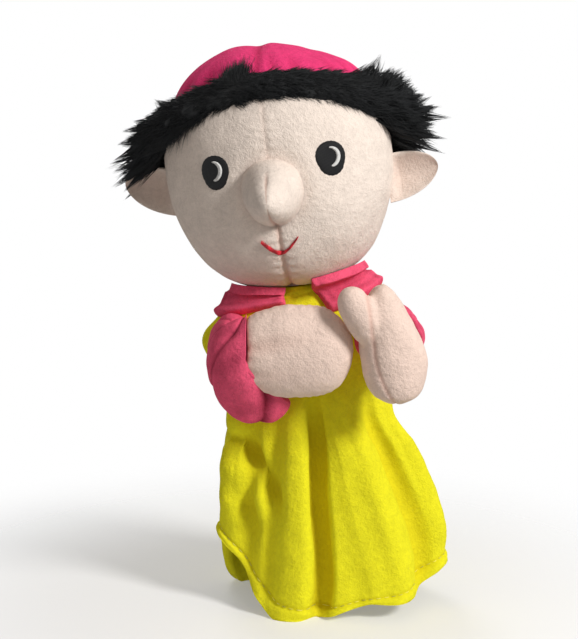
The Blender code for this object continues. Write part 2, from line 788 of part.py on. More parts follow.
def collar_flap(name, flap, grow=0.0):
    """A turned collar flap that lies on the shoulder of the tunic."""
    outer = []
    inner = []
    margin = 1 if grow else 0
    turn = margin if flap.end > flap.start else -margin
    for up in steps(0, 1, COLLAR_ROWS):
        outer_row = []
        inner_row = []
        for share in steps(0, 1, COLLAR_COLUMNS):
            side = math.sin(math.pi / 2 * share)
            low = flap.low_front + (flap.low_side - flap.low_front) * side - margin * COLLAR_TRIM_ROWS
            top = flap.top_front + (flap.top_side - flap.top_front) * side + margin * COLLAR_TRIM_ROWS
            degrees = flap.start - turn + (flap.end - flap.start + 2 * turn) * share
            row = low + (top - low) * up
            azimuth = math.radians(degrees)
            outer_row.append(tunic_point(azimuth, row, COLLAR_SEAT + COLLAR_THICKNESS + grow))
            inner_row.append(tunic_point(azimuth, row, COLLAR_SEAT - grow))
        outer.append(outer_row)
        inner.append(inner_row)
    return slab(name, outer, inner, "magenta")


# Sleeves and mitts


def sleeve_root(degrees, row):
    return tunic_surface(math.radians(degrees), row)


def ring_across(centre, direction, half_width, half_height, sides, lower_push=Vector((0, 0, 0))):
    """A ring square to a level direction; its lower side may be pushed along."""
    across = Vector((direction[1], -direction[0], 0)).normalized()
    ring = []
    for angle in ring_angles(sides):
        low = max(-math.sin(angle), 0) ** LOWER_PUSH_POWER
        ring.append(
            centre + across * half_width * math.cos(angle)
            + Vector((0, 0, half_height * math.sin(angle))) + lower_push * low
        )
    return ring


Ring = namedtuple("Ring", "place heading half_width half_height push")


def moved_in(rings, index, cut, wall):
    """One ring of a tube's inside: the outside moved in square to its surface, the ends flat."""
    ring = rings[index]
    heading = Vector((*cut.heading, 0)).normalized()
    at_end = index in (0, len(rings) - 1)
    before = rings[max(index - 1, 0)]
    after = rings[min(index + 1, len(rings) - 1)]
    count = len(ring)
    moved = []
    for here in range(count):
        around = ring[(here + 1) % count] - ring[here - 1]
        inward = around.cross(after[here] - before[here]).normalized()
        if inward.dot(cut.place - ring[here]) < 0:
            inward.negate()
        if at_end:
            inward = (inward - heading * inward.dot(heading)).normalized()
        moved.append(ring[here] + inward * wall)
    return moved


def tube(name, rings, wall, material):
    """A hollow cloth tube, open at both ends."""
    outer = [
        ring_across(ring.place, ring.heading, ring.half_width, ring.half_height, SLEEVE_SIDES, ring.push)
        for ring in rings
    ]
    inner = [moved_in(outer, index, ring, wall) for index, ring in enumerate(rings)]
    return loft(name, outer + inner[::-1], material, closed=True)


def offset_mm(x, y, z):
    return Vector((x, y, z)) * MM


def left_cuff():
    """Middle of the left cuff, where the mitt is sewn on."""
    return sleeve_root(SLEEVE_LEFT_AZIMUTH, SLEEVE_LEFT_ROW) + offset_mm(*LEFT_CUFF_PLACE)


def sleeve_rings(degrees, row, listed):
    root = sleeve_root(degrees, row)
    return [
        Ring(root + offset_mm(ring.x, ring.y, ring.z), ring.heading, ring.half_width * MM,
             ring.half_height * MM, offset_mm(ring.push_x, 0, ring.push_z))
        for ring in listed
    ]


def left_sleeve_tube(name, rings):
    sleeve = tube(name, rings, SLEEVE_WALL, "magenta")
    apply_boolean(sleeve, tunic_solid("tunic_clear", CLEARANCE))
    return apply_boolean(sleeve, collar_flap("collar_clear", COLLAR_LEFT, CLEARANCE))


def left_sleeves():
    """The left sleeve in two lengths, its upper arm and its bagged forearm, with a gap between."""
    rings = sleeve_rings(SLEEVE_LEFT_AZIMUTH, SLEEVE_LEFT_ROW, LEFT_SLEEVE)
    rings.append(Ring(left_cuff(), (1, 0), CUFF_HALF_DEPTH, CUFF_HALF_HEIGHT, offset_mm(0, 0, 0)))
    elbow = rings[LEFT_ELBOW]
    onward = Vector((*elbow.heading, 0)).normalized() * SLEEVE_GAP
    forearm = [elbow._replace(place=elbow.place + onward)] + rings[LEFT_ELBOW + 1:]
    return [
        left_sleeve_tube("sleeve_left", rings[:LEFT_ELBOW + 1]),
        left_sleeve_tube("sleeve_left_forearm", forearm),
    ]


def right_mitt_middle():
    """Middle of the right mitt, in front of the end of its sleeve."""
    return sleeve_root(SLEEVE_RIGHT_AZIMUTH, SLEEVE_RIGHT_ROW) + offset_mm(*RIGHT_MITT_PLACE)


def sleeve_right():
    rings = sleeve_rings(SLEEVE_RIGHT_AZIMUTH, SLEEVE_RIGHT_ROW, RIGHT_SLEEVE)
    sleeve = tube("sleeve_right", rings, SLEEVE_WALL, "magenta")
    apply_boolean(sleeve, tunic_solid("tunic_clear", CLEARANCE))
    apply_boolean(sleeve, hand_right("mitt_clear", CLEARANCE))
    return apply_boolean(sleeve, collar_flap("collar_clear", COLLAR_RIGHT, CLEARANCE))


def hand_left():
    """The left mitt, laid level across the chest, with its tip under the right thumb."""
    start = left_cuff() + Vector((CLEARANCE, 0, 0))
    full = LEFT_MITT_HALF_HEIGHT
    rings = []
    for share in LEFT_MITT_SHARES:
        swell = math.sin(math.pi * min(share / LEFT_MITT_SWELL + LEFT_MITT_START, 0.5))
        end = max(share - 0.5, 0) * 2
        round_off = (1 - end ** LEFT_MITT_BLUNTNESS) ** LEFT_MITT_ROUNDING
        grown = (swell - LEFT_MITT_NARROW) / (1 - LEFT_MITT_NARROW)
        height = (CUFF_HALF_HEIGHT + (full - CUFF_HALF_HEIGHT) * max(grown, 0)) * round_off
        depth = (CUFF_HALF_DEPTH + (LEFT_MITT_HALF_DEPTH - CUFF_HALF_DEPTH) * max(grown, 0)) * round_off
        centre = start + Vector((LEFT_MITT_LENGTH * share, 0, 0))
        rings.append(ring_across(centre, (1, 0), depth, height, MITT_SIDES))
    tip = start + Vector((LEFT_MITT_LENGTH, 0, 0))
    mitt = loft("hand_left", rings, "mitt", start, tip)
    return apply_boolean(mitt, hand_right("mitt_clear", CLEARANCE))


# Outline of the right mitt: height over its middle, left edge and right edge, in millimetres
MittRow = namedtuple("MittRow", "up left right")
RIGHT_MITT_ROWS = (
    MittRow(-25.5, -5, 5.5),
    MittRow(-22.5, -10, 11),
    MittRow(-17, -13.5, 15),
    MittRow(-9, -16, 16.8),
    MittRow(0, -17, 15.4),
    MittRow(9, -17, 12),
    MittRow(18, -16, 7.8),
    MittRow(24.5, -13, 4),
    MittRow(28, -9.5, -1),
)
RIGHT_MITT_BOTTOM = (0.5, -27)
RIGHT_MITT_TOP = (-5.5, 29.5)
THUMB_START = (-9, -2, 2)
THUMB_END = (-23.5, -9, 28)


def hand_right(name, grow=0.0):
    """The right mitt, held upright, with its thumb turned in over the left mitt."""
    middle = right_mitt_middle()
    rings = []
    for row in RIGHT_MITT_ROWS:
        centre = middle + offset_mm((row.left + row.right) / 2, 0, row.up)
        half_width = (row.right - row.left) / 2 * MM + grow
        flat = min(1, half_width / RIGHT_MITT_FULL) ** RIGHT_MITT_ROUNDING
        half_depth = (RIGHT_MITT_HALF_DEPTH + grow) * flat
        rings.append([
            centre + Vector((half_width * math.cos(angle), half_depth * math.sin(angle), 0))
            for angle in ring_angles(MITT_SIDES)
        ])
    bottom = middle + offset_mm(RIGHT_MITT_BOTTOM[0], 0, RIGHT_MITT_BOTTOM[1]) - Vector((0, 0, grow))
    top = middle + offset_mm(RIGHT_MITT_TOP[0], 0, RIGHT_MITT_TOP[1]) + Vector((0, 0, grow))
    mitt = loft(name, rings, "mitt", bottom, top)
    return apply_boolean(mitt, thumb(middle, grow), "UNION")


def thumb(middle, grow):
    """The right thumb, a short round finger that swells out of the mitt's side."""
    start = middle + offset_mm(*THUMB_START)
    end = middle + offset_mm(*THUMB_END)
    along = (end - start).normalized()
    across = Vector((0, 1, 0)).cross(along).normalized()
    beside = along.cross(across)
    start -= along * grow
    end += along * grow
    rings = []
    for share in THUMB_SHARES:
        radius = (THUMB_RADIUS + grow) * (1 - abs(2 * share - 1) ** THUMB_BLUNTNESS) ** 0.5
        centre = start.lerp(end, share)
        rings.append([
            centre + across * radius * math.cos(angle) + beside * radius * math.sin(angle)
            for angle in ring_angles(THUMB_SIDES)
        ])
    return loft("thumb", rings, "mitt", start, end)


def arm_hole(degrees, row):
    """A round cutter through the tunic's front panel at the root of a sleeve."""
    root = sleeve_root(degrees, row)
    rings = []
    into = Vector((0, ARM_HOLE_HALF_DEPTH, 0))
    for centre in (root - into, root + into):
        rings.append(ring_across(centre, (0, -1), ARM_HOLE_RADIUS, ARM_HOLE_RADIUS, ARM_HOLE_SIDES))
    return loft("arm_hole", rings, "yellow", root - into, root + into)


def build_tunic():
    front = tunic_panel("tunic_front", -90, 90, FRONT_COLUMNS)
    apply_boolean(front, arm_hole(SLEEVE_LEFT_AZIMUTH, SLEEVE_LEFT_ROW))
    apply_boolean(front, arm_hole(SLEEVE_RIGHT_AZIMUTH, SLEEVE_RIGHT_ROW))
    return [
        front,
        tunic_panel("tunic_back", 90, 270, BACK_COLUMNS),
        collar_flap("collar_left", COLLAR_LEFT),
        collar_flap("collar_right", COLLAR_RIGHT),
    ]


def build_arms():
    return left_sleeves() + [sleeve_right(), hand_left(), hand_right("hand_right")]


def centre_over_origin(root):
    """Move the whole puppet so that its bounding box stands centred on the origin."""
    bpy.context.view_layer.update()
    places = [
        piece.matrix_world @ vertex.co
        for piece in bpy.data.objects if piece.type == "MESH"
        for vertex in piece.data.vertices
    ]
    for axis in (0, 1):
        reach = [place[axis] for place in places]
        root.location[axis] = -(min(reach) + max(reach)) / 2


def main():
    clear_scene()
    root = bpy.data.objects.new("puppet_frame", None)
    bpy.context.scene.collection.objects.link(root)
    for piece in build_head() + build_tunic() + build_arms():
        piece.parent = root
    centre_over_origin(root)


main()
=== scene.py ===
"""Dresses the plush hand puppet: plush skins with sewn seams, long fur, stitched eyes and mouth."""

import math
import random
from collections import namedtuple

import bpy
import numpy as np
from bpy.props import FloatProperty, FloatVectorProperty, PointerProperty
from mathutils import Matrix, Vector, noise


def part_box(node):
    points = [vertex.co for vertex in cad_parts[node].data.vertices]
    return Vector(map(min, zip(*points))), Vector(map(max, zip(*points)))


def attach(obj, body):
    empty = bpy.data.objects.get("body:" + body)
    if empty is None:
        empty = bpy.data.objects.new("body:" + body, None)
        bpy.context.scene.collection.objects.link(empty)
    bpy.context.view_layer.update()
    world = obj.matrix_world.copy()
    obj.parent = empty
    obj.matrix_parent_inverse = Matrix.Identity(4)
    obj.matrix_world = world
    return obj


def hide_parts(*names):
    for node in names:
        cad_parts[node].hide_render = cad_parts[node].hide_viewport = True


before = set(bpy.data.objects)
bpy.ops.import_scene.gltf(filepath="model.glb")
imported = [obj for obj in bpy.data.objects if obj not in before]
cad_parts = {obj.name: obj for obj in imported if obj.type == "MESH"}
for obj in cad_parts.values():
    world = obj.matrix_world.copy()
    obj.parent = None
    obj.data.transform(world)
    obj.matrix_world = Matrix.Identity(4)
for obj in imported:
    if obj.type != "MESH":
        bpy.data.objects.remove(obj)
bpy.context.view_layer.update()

bl_info = {
    "name": "Plush hand puppet",
    "version": (1, 0, 0),
    "blender": (4, 5, 0),
    "location": "3D View > Sidebar > Puppet",
    "description": "Models and dresses a plush hand puppet on its solid frame",
    "category": "Add Mesh",
}

MM = 0.001
FULL_TURN = 2 * math.pi
ROOT_BODY = "root"

# The head's own shape, as its solids have it, in metres and degrees
HEAD_HALF_WIDTH = 54 * MM
HEAD_HALF_DEPTH = 47 * MM
HEAD_HALF_HEIGHT = 57 * MM
HEAD_ROLL = math.radians(-7.5)
HEAD_YAW = math.radians(-5)
CROWN_BULGE_POWER = 0.87
JAW_HEIGHT_POWER = 0.833
JAW_WIDTH_POWER = 0.8
NECK_RADIUS = 15 * MM
NECK_CENTRE = Vector((-2.5, -2, 157.5)) * MM
SIDE_DEGREES = 103
SIDE_SEAM = math.radians(SIDE_DEGREES)

# The fur band on the head: edges above the head's middle at the front and the back
BAND_LOWER_FRONT = 35 * MM
BAND_LOWER_BACK = -14 * MM
BAND_UPPER_FRONT = 49 * MM
BAND_UPPER_BACK = 19 * MM
SKIN_UNDER_BAND = 7 * MM

# How far the dense under-layer ends below the band's upper edge and hangs below its lower one
FUR_TOP_DROP = 3.5 * MM
FUR_FRINGE_DROP = 1.2 * MM

# Where the pile parts over the forehead, and how it rises at the sides, at the lower and the upper edge
PARTING = math.radians(-16)
LEFT_RISE = (math.radians(-31), math.radians(4))
RIGHT_RISE = (math.radians(-25), math.radians(44))

# Face
EYE_RADIUS = 7.5 * MM
EYE_LEFT_AZIMUTH = math.radians(-28)
EYE_RIGHT_AZIMUTH = math.radians(31)
EYE_HEIGHT = 5 * MM
CRESCENT_RADIUS = 4.9 * MM
CRESCENT_WIDTH = 1.9 * MM
CRESCENT_SHIFT = -0.6 * MM
MOUTH_HALF_WIDTH = 8.2 * MM
MOUTH_DEPTH = 8 * MM
MOUTH_HEIGHT = -29.5 * MM
NOSE_HALF_WIDTH = 13.5 * MM
NOSE_HALF_HEIGHT = 14.8 * MM
NOSE_LENGTH = 29 * MM
NOSE_HEIGHT = -7.5 * MM
NOSE_DROOP = 3 * MM
EAR_HALF_HEIGHT = 11.5 * MM
EAR_HALF_DEPTH = 4.5 * MM
EAR_LENGTH = 21 * MM

# Tunic sections in millimetres: heights at the left, right, front and back, then the reach to each
TUNIC_SECTIONS = np.array((
    (37, 21, 0, 0, -38.5, 69.5, -38, 34),
    (48, 38, 15, 15, -38.5, 69.5, -37, 33),
    (58, 52, 34, 34, -38, 66.5, -35, 31),
    (68, 67, 56, 56, -38, 60.5, -32, 28),
    (80, 80, 77, 77, -37, 54, -29, 25),
    (94, 94, 95, 95, -35.5, 46, -26, 22),
    (112, 112, 112, 112, -40, 46, -24, 21),
    (128, 132, 129, 130, -45, 48, -23, 21),
    (141, 150, 144, 144, -39.5, 45, -22, 20),
    (151.5, 163, 153, 153, -34, 33, -18.5, 17),
)) * MM
UP_LEFT, UP_RIGHT, UP_FRONT, UP_BACK, LEFT, RIGHT, FRONT, BACK = range(8)
TOP_SECTION = 9
FOLD_WAIST = 6.0
TUNIC_WALL = 2 * MM
HEM_TOP = 0.3
HEM_ARCH_LEFT = 40 * MM
HEM_ARCH_RIGHT = 24 * MM
HEM_ARCH_FRONT = 10.5 * MM
HEM_FLAT = 2.5 * MM
HEM_STITCH_ROW = HEM_TOP * 1.3
SEAM_AZIMUTHS = (-90, 90)
SEAM_REACH = 32 * MM

# Folds of the skirt: azimuth at the waist and at the hem, reach in millimetres, half width
SKIRT_FOLDS = (
    (3, -9, -6.5, 9),
    (-14, -24, 3.0, 14),
    (20, 33, 5.0, 15),
    (42, 56, -4.5, 12),
    (-42, -52, -3.5, 12),
    (-68, -72, 3.0, 14),
    (70, 78, 3.0, 14),
    (125, 120, -3.5, 18),
    (165, 168, -4.0, 16),
    (-150, -145, -3.5, 16),
    (-112, -118, 2.5, 16),
)

# Creases and ridges of the cloth over its large folds: azimuth at row 5 and at the hem, depth in
# millimetres, half width in degrees
CREASES = (
    (1, -8, -5.5, 4.2),
    (-7, -17, 2.6, 6.5),
    (13, 20, 2.2, 5.5),
    (21, 30, -1.6, 6.0),
    (27, 40, 2.2, 11.0),
    (44, 60, -2.6, 7.0),
    (-24, -40, -2.6, 6.0),
    (66, 74, 1.4, 9.0),
    (118, 122, -2.4, 8.0),
    (146, 140, 2.4, 10.0),
    (172, 176, -2.6, 7.0),
    (-160, -156, 2.2, 9.0),
    (-134, -130, -2.4, 8.0),
)

# Dents and lobes where the cloth is crushed: azimuth, row, half width, half height in rows, depth, lean
CRUSHES = (
    (-47, 3.9, 6.5, 0.4, -6.5, 6),
    (-33, 3.25, 6, 0.55, -6.0, 8),
    (-62, 3.2, 9, 0.5, 3.6, 0),
    (-40, 2.6, 7, 0.5, 2.4, -4),
    (-58, 4.9, 12, 0.45, 3.6, 0),
    (-64, 4.25, 14, 0.22, -4.6, 6),
    (-52, 2.2, 5, 0.5, -3.2, -8),
    (-48, 1.6, 6, 0.7, -2.0, -6),
    (-66, 2.0, 7, 0.6, 2.0, 0),
    (-82, 7.2, 14, 0.6, 3.4, 0),
    (8, 4.9, 4, 0.6, -1.8, -3),
    (20, 4.8, 4, 0.7, -1.5, 4),
    (33, 4.7, 5, 0.6, -1.3, 6),
    (-150, 3.4, 9, 0.7, -2.6, 5),
    (150, 4.2, 9, 0.6, -2.2, -5),
)

# Sleeve rings in millimetres: middle from the root, heading, half width, half height, push of the lower side
LEFT_SLEEVE = (
    (2, 5, 0, 0, -1, 11, 15, 0, 0, 0),
    (1.5, -6, -1, -0.1, -1, 11, 17.5, 0, 0, 0),
    (0.5, -16, -4.5, 0.3, -1, 10, 20, 2, 0, -2),
    (0.5, -24, -5, 0.75, -0.7, 10, 20.5, 10, 2, -6),
    (5.5, -27.5, -1, 1, -0.2, 11.5, 19, 16, 5, -11),
    (8.5, -28, 2, 1, 0, 12, 17.5, 20, 6, -5),
    (9.5, -28, 3.5, 1, 0, 12, 17, 0, 0, 0),
)
RIGHT_SLEEVE = (
    (-3, 5, 0, 0.3, -1, 12, 14, 0, 0, 0),
    (3, -5, 0, 0.5, -1, 13, 15, 0, 0, 0),
    (6, -13, 0.5, 0.2, -1, 13, 15, 0, 0, 0),
    (7, -19, 0, 0, -1, 13, 15, 0, 0, 0),
    (7, -28, 0, 0, -1, 12, 14, 0, 0, 0),
)

# Columns of a sleeve ring, and the thickness of a sleeve's cloth in millimetres
RING_MIDDLE = slice(0, 3)
RING_HEADING = slice(3, 5)
RING_HALF_WIDTH = 5
RING_HALF_HEIGHT = 6
RING_PUSH = slice(7, 10)
SLEEVE_WALL = 1.8

# Outline of the right mitt in millimetres: height over its middle, left edge, right edge
RIGHT_MITT_ROWS = (
    (-25.5, -5, 5),
    (-22.5, -10, 10),
    (-17, -13.5, 13),
    (-9, -16, 14.5),
    (0, -17, 12.8),
    (9, -17, 9),
    (18, -16, 4),
    (24.5, -13, 0),
    (28, -10, -4),
)

# The left mitt: length and gap to the cuff, then half sizes in millimetres at the cuff and where it is widest
MITT_LENGTH = 48.5 * MM
MITT_GAP = 0.3 * MM
MITT_HALF_HEIGHT = (17, 22.3)
MITT_HALF_DEPTH = (12, 13.5)

# Head panels: name, first and last azimuth, columns, rows
HEAD_PANELS = (
    ("face_panel_left", -SIDE_DEGREES, 0, 140, 140),
    ("face_panel_right", 0, SIDE_DEGREES, 140, 140),
    ("head_back_panel", SIDE_DEGREES, 360 - SIDE_DEGREES, 110, 100),
)

# Ears: name, side, height where the ear is sewn on, rise of its tip
EARS = (
    ("ear_left", -1, -6 * MM, 6.5 * MM),
    ("ear_right", 1, -12 * MM, 3.5 * MM),
)

# Layers of long pile: name, clumps, hairs in a clump, hair width, seed, reach, spread, steps along a hair
PILE_LAYERS = (
    ("fur_guard_hairs", 500, 20, 0.21 * MM, 4, 1.0, 0.036, 3),
    ("fur_under_hairs", 1250, 9, 0.19 * MM, 9, 0.75, 0.045, 2),
)
MOST_DROOP = 0.1
PARTING_HAIRS = 1100
FOREHEAD_HAIRS = 1300

# The finger pocket inside the head
POCKET_RADIUS = 11 * MM
POCKET_WALL = 1 * MM
POCKET_DEPTH = 52 * MM
INSIDE_COLUMNS = 120

# Plush: colour setting, colour of the painted shade in its creases, mottling
PLUSHES = {
    "face_plush": ("face", (0.60, 0.38, 0.30), 0.10),
    "mitt_plush": ("mitt", (0.70, 0.38, 0.30), 0.08),
    "cap_plush": ("cap", (0.52, 0.015, 0.08), 0.13),
    "magenta_plush": ("magenta", (0.20, 0.010, 0.028), 0.18),
    "yellow_plush": ("yellow", (0.62, 0.46, 0.005), 0.10),
}

# Threads: pitch of the stitches, lustre
THREADS = {
    "black_thread": (0.55 * MM, 0.2),
    "white_thread": (0.5 * MM, 0.4),
    "red_thread": (0.4 * MM, 0.4),
}

# Camera and surroundings
CAMERA_AIM = Vector((-5.3, 0, 139)) * MM
CAMERA_DISTANCE = 0.731
CAMERA_ELEVATION = 10
CAMERA_LENS = 84.9
CAMERA_SENSOR = 36

# Lights: name, place in metres, size, power, colour
LIGHTS = (
    ("key", (0.76, -0.62, 0.74), 0.3, 11.5, (1, 0.985, 0.96)),
    ("fill", (-0.3, -1.0, 0.3), 0.8, 0.6, (1, 0.95, 0.9)),
    ("back", (-0.3, 0.9, 0.9), 0.6, 3.0, (1, 1, 1)),
)
SURROUNDINGS_COLOUR = (1, 0.95, 0.9, 1)
SURROUNDINGS_STRENGTH = 0.28
FLOOR_REACH = 3.0
FLOOR_CORNERS = ((-1, -1), (1, -1), (1, 1), (-1, 1))
FLOOR_SEEN = 0.75
FLOOR_FADE = (0.08, 0.27)


# Shader maths


class Value:
    """A socket of a material's nodes that adds Math nodes as it is used in an expression."""

    def __init__(self, sheet, socket):
        self.sheet = sheet
        self.socket = socket

    def _math(self, operation, first, second=None):
        inputs = {0: first} if second is None else {0: first, 1: second}
        return self.sheet.add("ShaderNodeMath", {"operation": operation}, inputs)

    def __add__(self, other):
        return self._math("ADD", self, other)

    __radd__ = __add__

    def __mul__(self, other):
        return self._math("MULTIPLY", self, other)

    __rmul__ = __mul__

    def __sub__(self, other):
        return self._math("SUBTRACT", self, other)

    def __rsub__(self, other):
        return self._math("SUBTRACT", other, self)

    def __truediv__(self, other):
        return self._math("DIVIDE", self, other)

    def __pow__(self, other):
        return self._math("POWER", self, other)

    def clamped(self):
        return self.sheet.add("ShaderNodeClamp", {}, {"Value": self})

    def between(self, low, high):
        """0 below low, 1 above high, smooth between."""
        settings = {"interpolation_type": "SMOOTHSTEP"}
        inputs = {"Value": self, "From Min": low, "From Max": high}
        return self.sheet.add("ShaderNodeMapRange", settings, inputs)


class ClothSheet:
    """The node sheet of one material."""

    def __init__(self, name):
        self.material = bpy.data.materials.new(name)
        self.material.use_nodes = True
        self.tree = self.material.node_tree
        self.surface = self.tree.nodes["Principled BSDF"]

    def add(self, kind, settings, inputs, output=0):
        """Add a node, with its settings first and then its sockets' values or links."""
        node = self.tree.nodes.new(kind)
        for key, value in settings.items():
            setattr(node, key, value)
        for key, value in inputs.items():
            self.connect(node.inputs[key], value)
        return Value(self, node.outputs[output])

    def connect(self, socket, value):
        if isinstance(value, Value):
            self.tree.links.new(value.socket, socket)
        else:
            socket.default_value = value

    def place(self):
        return self.add("ShaderNodeTexCoord", {}, {}, "Object")

    def noise(self, feature, detail=2.0, roughness=0.5, place=None):
        """Noise with features of a size in metres."""
        where = place or self.place()
        return self.add("ShaderNodeTexNoise", {}, {
            "Vector": where, "Scale": 1 / feature, "Detail": detail, "Roughness": roughness,
        }, "Fac")

    def attribute(self, name):
        return self.add("ShaderNodeAttribute", {"attribute_name": name}, {}, "Fac")

    def mix(self, factor, first, second):
        settings = {"data_type": "RGBA"}
        return self.add("ShaderNodeMix", settings, {"Factor": factor, 6: first, 7: second}, 2)

    def bump(self, height, distance, strength=1.0, under=None):
        inputs = {"Height": height, "Distance": distance, "Strength": strength}
        if under:
            inputs["Normal"] = under
        return self.add("ShaderNodeBump", {}, inputs)

    def finish(self, colour, roughness, normal=None, sheen=0.0, sheen_tint=(1, 1, 1, 1), specular=0.3):
        """Feed the surface: what varies goes to colour, roughness and normal, the rest is set."""
        self.connect(self.surface.inputs["Base Color"], colour)
        self.connect(self.surface.inputs["Roughness"], roughness)
        if normal:
            self.connect(self.surface.inputs["Normal"], normal)
        self.surface.inputs["Sheen Weight"].default_value = sheen
        self.surface.inputs["Sheen Roughness"].default_value = 0.4
        self.surface.inputs["Sheen Tint"].default_value = sheen_tint
        self.surface.inputs["Specular IOR Level"].default_value = specular
        return self.material


def shade(colour, factor):
    """A colour made lighter or darker, with alpha 1."""
    return (*(min(channel * factor, 1) for channel in colour), 1)


def toward(colour, other, share):
    """A colour part of the way to another."""
    return tuple(a + (b - a) * share for a, b in zip(colour, other))


def plush(name, colour, crease_shade_colour, nap, mottle=0.10, sheen=0.05):
    """Short-nap plush: mottled by the lie of the nap, with painted shade that makes it darker and richer in
    its creases.
    """
    sheet = ClothSheet(name)
    place = sheet.place()
    crushed = sheet.noise(7 * MM, 3, 0.6, place)
    streaks = sheet.noise(1.7 * MM, 3, 0.65, place)
    pile = sheet.noise(nap, 2, 0.7, place)
    light = (crushed - 0.5) * 1.3 + (streaks - 0.5) * 1.3 + (pile - 0.5) * 1.5
    tone = (light * 1.1 + 0.5).clamped()
    napped = sheet.mix(tone, shade(colour, 1 - mottle), shade(colour, 1 + mottle))
    # Painted shade: the colour turns darker and richer by the amount each piece gives for its creases, seams
    # and folds.
    crease = sheet.attribute("crease").clamped()
    final = sheet.mix(crease, napped, (*crease_shade_colour, 1))
    relief = sheet.bump(pile, 0.5 * MM, 0.7)
    relief = sheet.bump(streaks, 0.9 * MM, 0.6, relief)
    relief = sheet.bump(crushed, 1.6 * MM, 0.4, relief)
    return sheet.finish(final, 0.95, relief, sheen, shade(colour, 1), 0.1)


def satin_thread(name, colour, pitch, lustre):
    """Rows of satin stitch: fine ridges across the 'across' attribute, in a slight sheen."""
    sheet = ClothSheet(name)
    across = sheet.attribute("across")
    wander = sheet.noise(3 * MM, 2) * 0.35
    ridge = sheet.add("ShaderNodeMath", {"operation": "SINE"}, {0: (across / pitch + wander) * FULL_TURN})
    height = (ridge + 1) * 0.5
    # Painted shade in the troughs between stitches and painted highlight on their crests.
    shaded = sheet.mix(height, shade(colour, 0.55), shade(colour, 1.15))
    relief = sheet.bump(height, 0.12 * MM, 0.8)
    return sheet.finish(shaded, 0.6, relief, 0.0, shade(colour, 1), lustre)


def fur_pile(name, colour):
    """Black pile: near black at the root, a little lighter and cooler toward the tips."""
    sheet = ClothSheet(name)
    along = sheet.attribute("along").clamped()
    strand = sheet.attribute("strand").clamped()
    tipped = sheet.mix(along, shade(colour, 0.5), shade(toward(colour, (0.03, 0.034, 0.038), 0.3), 1))
    varied = sheet.mix(strand * 0.5, tipped, shade(colour, 0.7))
    return sheet.finish(varied, 0.55 + strand * 0.25, None, 0.0, (1, 1, 1, 1), 0.25)


# Mesh making


def smooth_step(value):
    """0 below 0, 1 above 1, smooth between."""
    clipped = np.clip(value, 0, 1)
    return clipped * clipped * (3 - 2 * clipped)


def hill(away, half_width):
    """A smooth hill of height 1 that ends at the half width."""
    rise = np.cos(np.clip(away / half_width, -1, 1) * math.pi / 2) ** 2
    return np.where(np.abs(away) < half_width, rise, 0)


def gauss(away, width):
    """A bell of height 1 round 0."""
    return np.exp(-(away / width) ** 2)


def wobble(points, feature, seed=0.0):
    """Smooth noise between -1 and 1 at each point, with features of a size in metres."""
    flat = points.reshape(-1, 3) / feature + seed
    values = np.fromiter((noise.noise(Vector(point)) for point in flat), float, len(flat))
    return values.reshape(points.shape[:-1])


def surface_normals(surface, across, up, small=0.002):
    """Outward normals of a surface whose first value runs right and second one upward."""
    side = surface(across + small, up) - surface(across - small, up)
    rise = surface(across, up + small) - surface(across, up - small)
    normals = np.cross(side, rise)
    return normals / np.maximum(np.linalg.norm(normals, axis=-1, keepdims=True), 1e-12)


def grid_normals(points, wrapped):
    """Normals of a grid of points; rows go up and columns run to the right."""
    if wrapped:
        side = np.roll(points, -1, axis=1) - np.roll(points, 1, axis=1)
    else:
        side = np.gradient(points, axis=1)
    rise = np.gradient(points, axis=0)
    normals = np.cross(side, rise)
    return normals / np.maximum(np.linalg.norm(normals, axis=-1, keepdims=True), 1e-12)


def spline(values, places):
    """Smooth values through listed ones, at places counted in list steps."""
    listed = np.array(values, dtype=float)
    last = len(listed) - 1
    base = np.clip(np.floor(places), 0, last - 1).astype(int)
    share = (places - base).reshape(places.shape + (1,) * (listed.ndim - 1))
    before, low, high, after = (listed[np.clip(base + step, 0, last)] for step in (-1, 0, 1, 2))
    return 0.5 * (
        2 * low + (high - before) * share
        + (2 * before - 5 * low + 4 * high - after) * share ** 2
        + (3 * low - before - 3 * high + after) * share ** 3
    )


def grid_faces(rows, columns, wrapped, first=0, flipped=False):
    """Four-sided faces over a grid of points, closed round its rows where it is wrapped."""
    faces = []
    last_column = columns if wrapped else columns - 1
    for row in range(rows - 1):
        for column in range(last_column):
            after = (column + 1) % columns
            low = first + row * columns
            high = low + columns
            face = (low + column, low + after, high + after, high + column)
            faces.append(face[::-1] if flipped else face)
    return faces


def loop_faces(rows, columns):
    """Faces of a grid that is closed round its rows and from its last row to its first."""
    faces = grid_faces(rows, columns, True)
    last = (rows - 1) * columns
    for column in range(columns):
        after = (column + 1) % columns
        faces.append((last + column, last + after, after, column))
    return faces


def make_piece(name, points, faces, material, attributes=None):
    """Make a smooth mesh object with float attributes on its points."""
    mesh = bpy.data.meshes.new(name)
    mesh.from_pydata([tuple(point) for point in points], [], faces)
    mesh.validate()
    for key, values in (attributes or {}).items():
        layer = mesh.attributes.new(key, "FLOAT", "POINT")
        layer.data.foreach_set("value", np.asarray(values, dtype=np.float32).ravel())
    mesh.polygons.foreach_set("use_smooth", [True] * len(mesh.polygons))
    mesh.materials.append(material)
    mesh.update()
    made = bpy.data.objects.new(name, mesh)
    bpy.context.scene.collection.objects.link(made)
    return made


